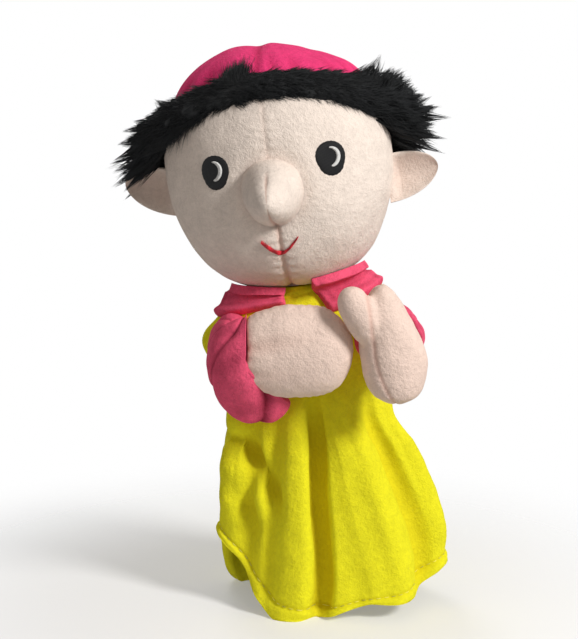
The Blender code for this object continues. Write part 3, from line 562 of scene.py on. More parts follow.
def skin(name, grid, material, wrapped=False, crease=None, low_tip=None, high_tip=None):
    """One skin from a grid of points, closed at its ends by a point where one is given."""
    rows, columns = grid.shape[:2]
    points = list(grid.reshape(-1, 3))
    faces = grid_faces(rows, columns, wrapped)
    # Painted shade for each point, kept on the mesh.
    values = list(np.zeros(rows * columns) if crease is None else crease.ravel())
    for tip, row in ((low_tip, 0), (high_tip, rows - 1)):
        if tip is not None:
            points.append(np.array(tip))
            values.append(values[row * columns])
            here = len(points) - 1
            for column in range(columns):
                after = (column + 1) % columns
                rim = (row * columns + column, row * columns + after)
                faces.append((rim[1], rim[0], here) if row == 0 else (rim[0], rim[1], here))
    return make_piece(name, points, faces, material, {"crease": values})


def thick_cloth(name, outer, inner, material, crease):
    """A sheet with an outside, an inside and closed edges."""
    rows, columns = outer.shape[:2]
    count = rows * columns
    points = np.concatenate([outer.reshape(-1, 3), inner.reshape(-1, 3)])
    faces = grid_faces(rows, columns, False) + grid_faces(rows, columns, False, count, True)
    border = list(range(columns))
    border += [row * columns + columns - 1 for row in range(1, rows)]
    border += [(rows - 1) * columns + column for column in range(columns - 2, -1, -1)]
    border += [row * columns for row in range(rows - 2, 0, -1)]
    for here, there in zip(border, border[1:] + border[:1]):
        faces.append((there, here, here + count, there + count))
    # Painted shade for each point, the same on both sides of the cloth.
    values = np.concatenate([crease.ravel(), crease.ravel()])
    return make_piece(name, points, faces, material, {"crease": values})


def belongs(piece, slot, *nodes):
    """Ride on the puppet and stand for the solids. The slot is not used."""
    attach(piece, ROOT_BODY)
    if nodes:
        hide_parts(*nodes)
    return piece


# The head's surface


def head_surface(azimuth, latitude):
    """Points of the head's skin in the head's frame, for arrays of angles."""
    rise = np.sin(latitude)
    reach = np.maximum(np.cos(latitude), 0)
    upper = rise >= 0
    up = np.where(upper, np.abs(rise) ** CROWN_BULGE_POWER, -(np.abs(rise) ** JAW_HEIGHT_POWER))
    out = np.where(upper, reach ** CROWN_BULGE_POWER, reach ** JAW_WIDTH_POWER)
    return np.stack([
        HEAD_HALF_WIDTH * out * np.sin(azimuth),
        -HEAD_HALF_DEPTH * out * np.cos(azimuth),
        HEAD_HALF_HEIGHT * up,
    ], axis=-1)


def latitude_at(height):
    """Latitude of the head's plain surface at a height over its middle."""
    share = np.minimum(np.abs(height) / HEAD_HALF_HEIGHT, 1)
    upper = np.arcsin(share ** (1 / CROWN_BULGE_POWER))
    lower = -np.arcsin(share ** (1 / JAW_HEIGHT_POWER))
    return np.where(np.asarray(height) >= 0, upper, lower)


NECK_LATITUDE = -math.acos((NECK_RADIUS / HEAD_HALF_WIDTH) ** (1 / JAW_WIDTH_POWER))
NECK_HEIGHT = float(head_surface(np.array(0.0), np.array(NECK_LATITUDE))[2])
HEAD_TURN = Matrix.Rotation(HEAD_ROLL, 4, "Y") @ Matrix.Rotation(HEAD_YAW, 4, "Z")
HEAD_PLACE = Matrix.Translation(NECK_CENTRE) @ HEAD_TURN @ Matrix.Translation((0, 0, -NECK_HEIGHT))


def band_edge(azimuth, front, back):
    """Height of an edge of the fur band that slopes from the front to the back."""
    return (front + back) / 2 + (front - back) / 2 * np.cos(azimuth)


def band_lower(azimuth):
    return band_edge(azimuth, BAND_LOWER_FRONT, BAND_LOWER_BACK)


def band_upper(azimuth):
    return band_edge(azimuth, BAND_UPPER_FRONT, BAND_UPPER_BACK)


def face_relief(azimuth, latitude):
    """How far the stuffed skin stands off the plain head: cheeks, dents and the front seam."""
    plain = head_surface(azimuth, latitude)
    sizes = get_sizes()
    across = azimuth * HEAD_HALF_WIDTH * np.cos(latitude)
    height = plain[..., 2]
    cheek = 1.3 * MM * gauss(np.abs(azimuth) - math.radians(38), 0.33) * gauss(height + 24 * MM, 17 * MM)
    beside_eyes = gauss(azimuth - EYE_LEFT_AZIMUTH, 0.22) + gauss(azimuth - EYE_RIGHT_AZIMUTH, 0.22)
    socket = -0.7 * MM * beside_eyes * gauss(height - EYE_HEIGHT, 12 * MM)
    from_nose = np.hypot(across / NOSE_HALF_WIDTH, (height - NOSE_HEIGHT) / NOSE_HALF_HEIGHT)
    pinch = -0.9 * MM * gauss(from_nose - 1.12, 0.25)
    left_jaw = -1.7 * MM * gauss(azimuth + math.radians(82), 0.55)
    right_jaw = -2.4 * MM * gauss(azimuth - math.radians(88), 0.6)
    jaw = (left_jaw + right_jaw) * gauss(height + 30 * MM, 16 * MM)
    lumps = jaw + 0.45 * MM * wobble(plain, 22 * MM, 3.1) + 0.18 * MM * wobble(plain, 7 * MM, 8.4)
    sewn = 0.25 + 0.75 * smooth_step((6 * MM - height) / (14 * MM))
    groove = sizes.seam_depth * sewn * (0.8 * gauss(across, 1.1 * MM) + 0.45 * gauss(across, 4 * MM))
    pucker = 0.22 * MM * np.cos(height / (4.2 * MM) * FULL_TURN) * gauss(np.abs(across) - 2.6 * MM, 2.2 * MM)
    return np.where(np.abs(azimuth) < SIDE_SEAM, cheek + socket + pinch + pucker - groove, 0) + lumps


def side_groove(azimuth, latitude):
    """The seams from the neck up behind the ears."""
    away = (np.abs(azimuth) - SIDE_SEAM) * HEAD_HALF_WIDTH * np.cos(latitude)
    return get_sizes().seam_depth * (0.8 * gauss(away, 1.1 * MM) + 0.4 * gauss(away, 3.5 * MM))


def head_skin(azimuth, latitude, lift=0.0):
    """The head's skin with its relief, moved out by a lift, in the head's frame."""
    relief = face_relief(azimuth, latitude) - side_groove(azimuth, latitude) + lift
    normals = surface_normals(head_surface, azimuth, latitude)
    return head_surface(azimuth, latitude) + normals * relief[..., None]


def moved(points, place):
    """Points moved by a matrix."""
    matrix = np.array(place)
    return points @ matrix[:3, :3].T + matrix[:3, 3]


def to_world(points, place=None):
    """Points moved from their own frame into the puppet's place in the frame."""
    return moved(points, Matrix.Translation(puppet_shift()) @ (place or Matrix.Identity(4)))


# The tunic's surface


def turned(degrees):
    """Degrees brought between -180 and 180."""
    return (degrees + 180) % 360 - 180


def hem_height(degrees):
    """Height of the hem, which arches over the wrist at the left, right and front."""
    here = turned(degrees)
    left = HEM_ARCH_LEFT * hill(here + 82, np.where(here > -82, 62.0, 48.0))
    right = HEM_ARCH_RIGHT * hill(here - 88, 66)
    front = HEM_ARCH_FRONT * hill(here - 22, 42)
    return np.maximum(left + right + front - HEM_FLAT, 0)


def fold_reach(degrees, row):
    """How far the skirt's folds move the cloth out."""
    down = np.clip(1 - row / FOLD_WAIST, 0, 1)
    ease = np.sin(math.pi / 2 * np.minimum(down * 2.2, 1))
    reach = np.zeros_like(degrees)
    for waist, hem, depth, half_width in SKIRT_FOLDS:
        centre = hem + (waist - hem) * (1 - down)
        width = half_width * (0.75 + 0.35 * down)
        reach += depth * MM * hill(turned(degrees - centre), width) * ease
    return reach


def neck_ring(azimuth):
    """Points where the tunic is sewn to the head's neck."""
    depth = NECK_RADIUS * HEAD_HALF_DEPTH / HEAD_HALF_WIDTH
    rim = np.stack([
        NECK_RADIUS * np.sin(azimuth),
        -depth * np.cos(azimuth),
        np.full_like(azimuth, NECK_HEIGHT - 0.3 * MM),
    ], axis=-1)
    return moved(rim, HEAD_PLACE)


def tunic_surface(azimuth, row):
    """Points on the outside of the tunic; azimuth 0 is the front and rows go from hem to neck."""
    body = np.minimum(row, TOP_SECTION)
    here = spline(TUNIC_SECTIONS, body)
    side = np.sin(azimuth)
    front = np.cos(azimuth)
    degrees = np.degrees(azimuth)
    half_width = (here[..., RIGHT] - here[..., LEFT]) / 2
    half_depth = (here[..., BACK] - here[..., FRONT]) / 2
    up_side = np.where(side > 0, here[..., UP_RIGHT], here[..., UP_LEFT])
    up_front = np.where(front > 0, here[..., UP_FRONT], here[..., UP_BACK])
    height = up_side * side ** 2 + up_front * front ** 2
    listed = np.where(side > 0, TUNIC_SECTIONS[0, UP_RIGHT], TUNIC_SECTIONS[0, UP_LEFT]) * side ** 2
    height = height + np.where(row < 1, (hem_height(degrees) - listed) * (1 - row), 0)
    outward = np.stack([half_depth * side, -half_width * front, np.zeros_like(side)], axis=-1)
    outward /= np.linalg.norm(outward, axis=-1, keepdims=True)
    place = np.stack([
        (here[..., LEFT] + here[..., RIGHT]) / 2 + half_width * side,
        (here[..., FRONT] + here[..., BACK]) / 2 - half_depth * front,
        height,
    ], axis=-1)
    place = place + outward * fold_reach(degrees, body)[..., None]
    above = np.clip(row - TOP_SECTION, 0, 1)[..., None]
    return place * (1 - above) + neck_ring(azimuth) * above


def tunic_at(degrees, row):
    """One point of the tunic, in the puppet's own axes."""
    point = tunic_surface(np.array(math.radians(degrees)), np.array(float(row)))
    return Vector(point)


SLEEVE_LEFT_ROOT = tunic_at(-50, 7)
SLEEVE_RIGHT_ROOT = tunic_at(50, 7.3)
LEFT_CUFF = SLEEVE_LEFT_ROOT + Vector((9.5, -28, 3.5)) * MM
RIGHT_MITT = SLEEVE_RIGHT_ROOT + Vector((6.5, -32, -1.5)) * MM


def puppet_shift():
    """From the puppet's own axes to the frame's, read from where the left mitt's solid lies."""
    low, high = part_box("hand_left")
    return Vector((low[0] - LEFT_CUFF.x - MITT_GAP, (low[1] + high[1]) / 2 - LEFT_CUFF.y, 0))


# Settings


class PuppetSizes(bpy.types.PropertyGroup):
    """Sizes of the puppet's sewing and pile."""

    seam_depth: FloatProperty(
        name="Seam depth", description="How far a seam is drawn into the plush",
        default=1.3 * MM, min=0, subtype="DISTANCE", unit="LENGTH",
    )
    nap: FloatProperty(
        name="Nap", description="Size of the tufts that the short nap shows",
        default=0.45 * MM, min=0.1 * MM, subtype="DISTANCE", unit="LENGTH",
    )
    pile_length: FloatProperty(
        name="Pile length", description="Length of the long hairs of the fur band",
        default=15 * MM, min=2 * MM, subtype="DISTANCE", unit="LENGTH",
    )
    hem_stitch: FloatProperty(
        name="Hem stitch", description="Length of one stitch of the hem's seam",
        default=3.2 * MM, min=1 * MM, subtype="DISTANCE", unit="LENGTH",
    )


def colour_property(name, description, default):
    """A colour setting."""
    return FloatVectorProperty(
        name=name, description=description, default=default, min=0, max=1, size=3, subtype="COLOR",
    )


class PuppetColours(bpy.types.PropertyGroup):
    """Colours of the puppet's cloths, fur and threads."""

    face: colour_property("Face", "Plush of the head", (0.88, 0.77, 0.69))
    fur: colour_property("Fur", "Long pile of the band", (0.0035, 0.004, 0.0045))
    cap: colour_property("Cap", "Plush of the cap's crown", (0.90, 0.055, 0.215))
    magenta: colour_property("Collar and sleeves", "Plush of the collar and sleeves", (0.86, 0.105, 0.205))
    yellow: colour_property("Tunic", "Plush of the tunic", (0.86, 0.81, 0.020))
    mitt: colour_property("Mitts", "Plush of the mitts", (0.88, 0.69, 0.60))
    black_thread: colour_property("Eye thread", "Thread of the eyes", (0.005, 0.005, 0.006))
    white_thread: colour_property("Glint thread", "Thread of the crescents", (0.86, 0.86, 0.85))
    red_thread: colour_property("Mouth thread", "Thread of the mouth", (0.72, 0.03, 0.05))


def get_sizes():
    return bpy.context.scene.puppet_sizes


def get_colours():
    return bpy.context.scene.puppet_colours


def cloth_material(name):
    """One of the puppet's materials, made when it is first asked for."""
    own_name = "puppet_" + name
    found = bpy.data.materials.get(own_name)
    if found:
        return found
    colours = get_colours()
    if name in PLUSHES:
        key, crease_shade_colour, mottle = PLUSHES[name]
        return plush(own_name, getattr(colours, key), crease_shade_colour, get_sizes().nap, mottle)
    if name in THREADS:
        pitch, lustre = THREADS[name]
        return satin_thread(own_name, getattr(colours, name), pitch, lustre)
    if name == "long_fur":
        return fur_pile(own_name, colours.fur)
    raise ValueError("no cloth is called " + name)


# Head pieces


def head_panel(name, start, end, columns, rows):
    """One panel of the head's skin from the neck to under the fur, its side edges tucked into the seams."""
    azimuth = np.radians(np.linspace(start, end, columns))[None, :] * np.ones((rows, 1))
    top = latitude_at(band_lower(azimuth) + SKIN_UNDER_BAND)
    latitude = NECK_LATITUDE + (top - NECK_LATITUDE) * np.linspace(0, 1, rows)[:, None]
    wrapped = np.where(np.abs(azimuth) > math.pi, azimuth - np.sign(azimuth) * FULL_TURN, azimuth)
    across = wrapped * HEAD_HALF_WIDTH * np.cos(latitude)
    below = smooth_step((6 * MM - head_surface(wrapped, latitude)[..., 2]) / (14 * MM))
    # Painted shade along the front seam, stronger low on the face, along the side seams and round the nose's
    # base.
    side_seam_shade = side_groove(wrapped, latitude) / get_sizes().seam_depth * 0.4
    crease = gauss(across, 1.3 * MM) * (0.15 + 0.4 * below) + side_seam_shade
    crease += 0.15 * nose_shade(wrapped, latitude)
    world = to_world(head_skin(wrapped, latitude), HEAD_PLACE)
    made = skin(name + "_plush", world, cloth_material("face_plush"), False, crease)
    belongs(made, "face_plush", name)


def nose_shade(azimuth, latitude):
    """Painted shade where the skin dips round the nose's base."""
    across = azimuth * HEAD_HALF_WIDTH * np.cos(latitude)
    height = head_surface(azimuth, latitude)[..., 2] - NOSE_HEIGHT
    return gauss(np.hypot(across / NOSE_HALF_WIDTH, height / NOSE_HALF_HEIGHT) - 1.05, 0.16)


def make_head():
    """The three panels of the head's skin."""
    for panel in HEAD_PANELS:
        head_panel(*panel)


# Nose and ears


def nose_point(angle, share):
    """The stuffed nose: a blunt cone that flares where it is sewn on, seamed down its middle."""
    base = head_surface(np.array(0.0), latitude_at(NOSE_HEIGHT))
    reach = NOSE_LENGTH * share - 2 * MM
    width = (1 - np.clip(share, 0, 1) ** 2.3) ** 0.5 * (1 - 0.3 * share)
    width = width * (1 + 0.05 * np.exp(-share / 0.1))
    middle = np.abs(np.cos(angle)) * NOSE_HALF_WIDTH * width
    upright = np.sign(np.sin(angle))
    sewn = np.where(upright > 0, smooth_step((share - 0.35) / 0.4), 1.0)
    groove = get_sizes().seam_depth * 0.65 * gauss(middle, 1.0 * MM) * sewn
    soft = 0.35 * MM * gauss(middle, 4 * MM) * sewn
    crumple = 0.3 * MM * np.sin(angle * 3 + share * 9) * np.exp(-share / 0.25)
    shrink = 1 - (groove + soft - crumple) / NOSE_HALF_WIDTH
    return np.stack([
        base[0] + NOSE_HALF_WIDTH * width * shrink * np.cos(angle),
        base[1] - reach,
        base[2] - NOSE_DROOP * share + NOSE_HALF_HEIGHT * width * shrink * np.sin(angle),
    ], axis=-1)


def make_nose():
    """The stuffed nose, sewn on over the front seam."""
    angles = np.linspace(0, FULL_TURN, 120, endpoint=False)[None, :]
    shares = (1 - (1 - np.linspace(0, 1, 70)) ** 1.7)[:-1, None]
    angle = angles + 0 * shares
    share = shares + 0 * angles
    points = nose_point(angle, share)
    normals = -grid_normals(points, True)
    lumps = 0.4 * MM * wobble(points, 11 * MM, 2.7) + 0.15 * MM * wobble(points, 4 * MM)
    points = points + normals * lumps[..., None]
    middle = np.abs(np.cos(angle)) * NOSE_HALF_WIDTH
    sewn = np.where(np.sin(angle) > 0, smooth_step((share - 0.35) / 0.4), 1.0)
    # Painted shade along the seam and where the nose meets the face.
    crease = 0.7 * gauss(middle, 1.2 * MM) * sewn + 0.25 * np.exp(-share / 0.05)
    tip = to_world(nose_point(np.array(0.0), np.array(1.0)), HEAD_PLACE)
    world = to_world(points, HEAD_PLACE)[:, ::-1]
    made = skin("nose_plush", world, cloth_material("face_plush"), True, crease[:, ::-1], None, tip)
    belongs(made, "face_plush", "nose")


def make_ear(name, side, height, rise):
    """A folded ear, dished toward the front, with a thick rolled lip and painted shade that darkens its
    hollow and its root toward a pinker tone.
    """
    base = head_surface(np.array(side * math.pi / 2), latitude_at(height))
    angles = np.linspace(0, FULL_TURN, 96, endpoint=False)[None, :]
    shares = np.linspace(0, 0.995, 60)[:, None]
    angle = angles + 0 * shares
    share = shares + 0 * angles
    width = (1 - share ** 2.4) ** 0.55
    front = np.maximum(-np.sin(angle), 0)
    flat = np.sign(np.cos(angle)) * np.abs(np.cos(angle)) ** 0.8
    hollow = 6.2 * MM * width * front ** 2 * smooth_step(share / 0.25) * (1 - 0.5 * np.abs(np.cos(angle)))
    curl = 3.2 * MM * np.abs(np.cos(angle)) ** 3 * width
    pucker = 0.5 * MM * np.sin(angle * 5 + 1) * np.exp(-share / 0.2)
    ears = np.stack([
        base[0] + side * (-3 * MM + (EAR_LENGTH + 3 * MM) * share) + 0 * angle,
        base[1] + EAR_HALF_DEPTH * width * np.sin(angle) + hollow - curl + pucker,
        base[2] + rise * share + (EAR_HALF_HEIGHT * width + pucker) * flat,
    ], axis=-1)
    ears[..., 1] += 0.4 * MM * wobble(ears, 9 * MM, 5.5)
    # Painted shade in the dished front and at the root against the head.
    crease = 0.3 * front ** 1.5 * smooth_step(share / 0.2) + 0.3 * np.exp(-share / 0.07)
    tip = to_world(np.array([base[0] + side * EAR_LENGTH, base[1], base[2] + rise]), HEAD_PLACE)
    world = to_world(ears, HEAD_PLACE)
    if side > 0:
        world = world[:, ::-1]
        crease = crease[:, ::-1]
    made = skin(name + "_plush", world, cloth_material("face_plush"), True, crease, None, tip)
    belongs(made, "face_plush", name)


def make_ears():
    """Both ears."""
    for ear in EARS:
        make_ear(*ear)


# Stitched eyes and mouth


def face_spot(azimuth, height, across, up, lift):
    """A point of the face beside and above a spot, lifted off the skin, in the head's frame."""
    latitude = latitude_at(height)
    small = 0.01
    here = head_surface(np.array(azimuth), latitude)
    sideways = np.linalg.norm(head_surface(np.array(azimuth + small), latitude) - here) / small
    upward = np.linalg.norm(head_surface(np.array(azimuth), latitude + small) - here) / small
    return head_skin(azimuth + across / sideways, latitude + up / upward, lift)


def make_eye(name, azimuth):
    """A round pad of satin stitch, a little domed, with an uneven edge."""
    rings = np.linspace(0.02, 1, 40)[:, None]
    angles = np.linspace(0, FULL_TURN, 160, endpoint=False)[None, :]
    ragged = 1 + 0.012 * np.sin(angles * 57) + 0.01 * np.sin(angles * 23 + 1)
    radius = EYE_RADIUS * rings * (1 + (ragged - 1) * rings ** 6)
    across = radius * np.cos(angles)
    up = radius * np.sin(angles) * 0.97
    dome = 1.05 * MM * (1 - (rings + 0 * angles) ** 5) ** 0.5 - 0.25 * MM
    points = face_spot(azimuth, EYE_HEIGHT, across, up, dome)
    world = to_world(points, HEAD_PLACE)[::-1]
    middle = to_world(face_spot(azimuth, EYE_HEIGHT, 0.0, 0.0, 0.8 * MM), HEAD_PLACE)
    rows, columns = world.shape[:2]
    cloth = list(world.reshape(-1, 3)) + [middle]
    faces = grid_faces(rows, columns, True)
    last = (rows - 1) * columns
    for column in range(columns):
        faces.append((last + column, last + (column + 1) % columns, rows * columns))
    stitched = np.append((across + 0.25 * up)[::-1].ravel(), 0)
    made = make_piece(name + "_thread", cloth, faces, cloth_material("black_thread"), {"across": stitched})
    belongs(made, "black_thread", name)


def make_crescent(name, azimuth):
    """A white satin crescent open to the left, raised over the eye."""
    turn = np.linspace(-1, 1, 70)[None, :]
    width = np.linspace(-1, 1, 15)[:, None]
    half = CRESCENT_WIDTH / 2 * np.cos(turn * math.pi / 2) ** 0.55
    radius = CRESCENT_RADIUS - CRESCENT_WIDTH / 2 + half * width
    angle = turn * math.radians(92)
    across = radius * np.cos(angle) + CRESCENT_SHIFT
    up = radius * np.sin(angle)
    ridges = 0.08 * MM * np.sin(turn * 26 * math.pi)
    lift = 0.75 * MM + (0.85 * MM + ridges) * (1 - width ** 4) ** 0.5 * np.cos(turn * math.pi / 2) ** 0.3
    points = face_spot(azimuth, EYE_HEIGHT, across, up, lift)
    world = to_world(points, HEAD_PLACE)
    stitched = (CRESCENT_RADIUS * angle + 0 * width).ravel()
    material = cloth_material("white_thread")
    faces = grid_faces(*world.shape[:2], False)
    made = make_piece(name + "_thread", world.reshape(-1, 3), faces, material, {"across": stitched})
    face_outward(made)
    belongs(made, "white_thread", name)


def face_outward(piece):
    """Turn the faces of an open patch to the front, where the puppet faces."""
    mesh = piece.data
    total = sum((face.normal.y * face.area for face in mesh.polygons), 0.0)
    if total > 0:
        mesh.flip_normals()


def thread(points, radius, sides=8):
    """Rings of a round thread through a list of points, thin at its ends."""
    path = [Vector(point) for point in points]
    rings = []
    for index, place in enumerate(path):
        before = path[max(index - 1, 0)]
        after = path[min(index + 1, len(path) - 1)]
        along = (after - before).normalized()
        side = along.cross(Vector((0.3, 0.2, 1))).normalized()
        rise = side.cross(along)
        ends = 0.35 if index in (0, len(path) - 1) else 1
        rings.append([
            place + (side * math.cos(turn) + rise * math.sin(turn)) * radius * ends
            for turn in (FULL_TURN * step / sides for step in range(sides))
        ])
    return rings


def threads_mesh(name, paths, radius, material, sides=8):
    """Many separate threads in one piece, each closed at both ends."""
    points = []
    faces = []
    values = []
    for number, path in enumerate(paths):
        rings = thread(path, radius, sides)
        first = len(points)
        for ring in rings:
            points.extend(ring)
        count = len(rings)
        for row in range(count - 1):
            for column in range(sides):
                after = (column + 1) % sides
                low = first + row * sides
                faces.append((low + column, low + after, low + sides + after, low + sides + column))
        faces.append(tuple(first + column for column in range(sides))[::-1])
        faces.append(tuple(first + (count - 1) * sides + column for column in range(sides)))
        values.extend([number * 0.37 * MM] * (count * sides))
    return make_piece(name, points, faces, material, {"across": values})


def make_mouth():
    """The smile: slanted satin stitches laid side by side along a line that dips in the middle."""
    picker = random.Random(6)
    paths = []
    count = 64
    for number in range(count):
        share = -1 + 2 * number / (count - 1)
        across = MOUTH_HALF_WIDTH * share
        dip = -MOUTH_DEPTH * (1 - abs(share) ** 1.35)
        half = (1.05 * MM + picker.uniform(-0.08, 0.08) * MM) * (1 - 0.35 * abs(share) ** 6)
        lean = 0.35 * MM
        path = []
        for step in (-1, -0.7, -0.3, 0.1, 0.5, 0.8, 1):
            lift = 0.15 * MM + 0.75 * MM * (1 - step ** 2) ** 0.5
            spot = face_spot(0.0, MOUTH_HEIGHT, across + lean * step, dip + half * step, lift)
            path.append(to_world(spot, HEAD_PLACE))
        paths.append(path)
    made = threads_mesh("mouth_thread", paths, 0.2 * MM, cloth_material("red_thread"))
    belongs(made, "red_thread", "mouth_stitch")


def make_stitching():
    """The eyes, their crescents and the mouth."""
    make_eye("eye_left", EYE_LEFT_AZIMUTH)
    make_eye("eye_right", EYE_RIGHT_AZIMUTH)
    make_crescent("eye_crescent_left", EYE_LEFT_AZIMUTH)
    make_crescent("eye_crescent_right", EYE_RIGHT_AZIMUTH)
    make_mouth()


# Fur band and cap


def crown_gathers(azimuth, share):
    """Gathers of the crown, which fade out away from its rim."""
    return np.sin(azimuth * 21 + 2 * np.sin(azimuth * 5)) * np.exp(-share / 0.22)


def crown_surface(azimuth, share):
    """The cap's crown from its rim (0) to its middle (1), puffed up and gathered at the rim."""
    rim = latitude_at(band_upper(azimuth) - FUR_TOP_DROP - 4 * MM)
    latitude = rim + (math.pi / 2 - rim) * share
    puff = 1.6 * MM * smooth_step(share * 3)
    gather = 0.9 * MM * crown_gathers(azimuth, share)
    plain = head_surface(azimuth, latitude)
    left_hump = 0.6 * MM * gauss(plain[..., 0] + 16 * MM, 12 * MM)
    right_hump = -2.6 * MM * gauss(plain[..., 0] - 24 * MM, 17 * MM)
    valley = -1.3 * MM * gauss(plain[..., 0] + 2 * MM, 4 * MM)
    humps = (left_hump + right_hump + valley) * smooth_step(share * 1.6)
    normals = surface_normals(head_surface, azimuth, np.minimum(latitude, math.pi / 2 - 0.02))
    return plain + normals * (puff + gather + humps)[..., None]


def make_crown():
    """The cap's crown, closed at its middle."""
    azimuth = np.linspace(-math.pi, math.pi, 220, endpoint=False)[None, :]
    share = np.linspace(0, 0.985, 80)[:, None]
    points = crown_surface(azimuth + 0 * share, share + 0 * azimuth)
    points = points + 0.5 * MM * wobble(points, 10 * MM, 1.2)[..., None] * np.array((0.3, 0.3, 1))
    # Painted shade in the gathers' hollows, at the rim under the fur and in the valley between the humps.
    crease = np.clip(-crown_gathers(azimuth, share), 0, 1) * 0.8 + 0.6 * np.exp(-share / 0.08)
    crease += 0.5 * gauss(points[..., 0] + 1 * MM, 2.2 * MM) * smooth_step(share * 1.6)
    tip = points[-1].mean(axis=0)
    world = to_world(points, HEAD_PLACE)
    material = cloth_material("cap_plush")
    made = skin("cap_crown_plush", world, material, True, crease, None, to_world(tip, HEAD_PLACE))
    belongs(made, "cap_plush", "cap_crown")


def band_ridge(azimuth, around):
    """The fur's dense under-layer: a low roll over the head from the lower to the upper edge."""
    lower = band_lower(azimuth) - FUR_FRINGE_DROP
    upper = band_upper(azimuth) - FUR_TOP_DROP
    side = np.abs(np.sin(azimuth)) ** 3
    height = lower + (upper - lower) * around
    latitude = latitude_at(height)
    plain = head_surface(azimuth, latitude)
    normals = surface_normals(head_surface, azimuth, latitude)
    dome = np.sin(math.pi * np.clip(around, 0, 1)) ** 0.6
    thick = (3.2 + 5 * side) * MM * dome
    return plain + normals * (thick - 0.8 * MM)[..., None]


def ridge_point(azimuth, around):
    """One point of the fur's under-layer, kept near its edges."""
    return Vector(band_ridge(np.array(azimuth), np.array(min(max(around, -0.03), 1.03))))


def sideness(azimuth):
    """How far the pile stands out from the head: 0 at the forehead, 1 at the ears and behind."""
    return min(max((0.62 - math.cos(azimuth)) / 0.45, 0), 1)


def tuft(azimuth, around):
    """Where the pile stands up over the right temple."""
    return math.exp(-((math.degrees(azimuth) - 57) / 15) ** 2) * min(max(around * 1.6 - 0.3, 0), 1)


def pile_way(azimuth, around):
    """Which way the pile lies at a place of the band, in the head's frame."""
    side = math.sin(azimuth)
    front = math.cos(azimuth)
    out = Vector((side, -front, 0))
    along = Vector((front, side, 0))
    sideways = Vector((math.copysign(1, side), 0, 0))
    behind = min(max(-front, 0) / 0.6, 1)
    low_rise, high_rise = (LEFT_RISE if side < 0 else RIGHT_RISE)
    rise = math.tan(low_rise + (high_rise - low_rise) * around)
    standing = out.lerp(sideways, 0.55 * (1 - behind)).normalized() + Vector((0, 0, rise))
    standing += Vector((-0.35, 0, 3.0)) * tuft(azimuth, around)
    parted = math.copysign(1, azimuth - PARTING)
    lying = along * parted + out * 0.22 + Vector((0, 0, -0.42 + 0.5 * around))
    return lying.normalized().lerp(standing.normalized(), sideness(azimuth)).normalized()


def pile_length(azimuth, around):
    """Length of the pile: short round the face, long at the sides, longest in the two lower tips."""
    aside = sideness(azimuth)
    near_ear = math.exp(-((abs(math.degrees(azimuth)) - 86) / 26) ** 2)
    upper = 0.6 if azimuth < 0 else 0.7
    low = upper + (1.0 - upper) * (1 - around) + 0.95 * near_ear * max(1 - around * 1.7, 0)
    lying = 0.5 + 0.15 * around
    return get_sizes().pile_length * (lying * (1 - aside) + low * aside + 0.5 * tuft(azimuth, around))


def blade(root, heading, bend, length, width, flat, steps=3):
    """Points of one hair: three edges that taper to its tip, and the tip, bent along the way."""
    side = heading.cross(flat)
    side = side.normalized() if side.length > 1e-6 else Vector((1, 0, 0))
    up = side.cross(heading)
    rows = []
    for step in range(steps):
        share = step / steps
        middle = root + heading * length * share + bend * length * share * share
        half = width * (1 - share) ** 0.7
        rows.append([
            middle + side * half,
            middle - side * half * 0.5 + up * half,
            middle - side * half * 0.5 - up * half,
        ])
    return rows, root + (heading + bend) * length


class Pile:
    """Hairs gathered into one mesh, with how far along each point lies and a tone for each hair."""

    def __init__(self):
        self.points = []
        self.faces = []
        self.along = []
        self.strand = []

    def add(self, rows, tip, tone):
        first = len(self.points)
        for step, row in enumerate(rows):
            self.points.extend(row)
            self.along.extend([step / len(rows)] * 3)
        self.points.append(tip)
        self.along.append(1.0)
        self.strand.extend([tone] * (3 * len(rows) + 1))
        for step in range(len(rows) - 1):
            low = first + step * 3
            for corner in range(3):
                after = (corner + 1) % 3
                self.faces.append((low + corner, low + after, low + 3 + after, low + 3 + corner))
        low = first + (len(rows) - 1) * 3
        for corner in range(3):
            self.faces.append((low + corner, low + (corner + 1) % 3, len(self.points) - 1))
        self.faces.append((first + 2, first + 1, first))

    def finish(self, name):
        placed = to_world(np.array(self.points), HEAD_PLACE)
        values = {"along": self.along, "strand": self.strand}
        made = make_piece(name, placed, self.faces, cloth_material("long_fur"), values)
        return belongs(made, "long_fur")


def scattered(picker, amount):
    """A small random vector."""
    return Vector([picker.gauss(0, amount) for _ in range(3)])


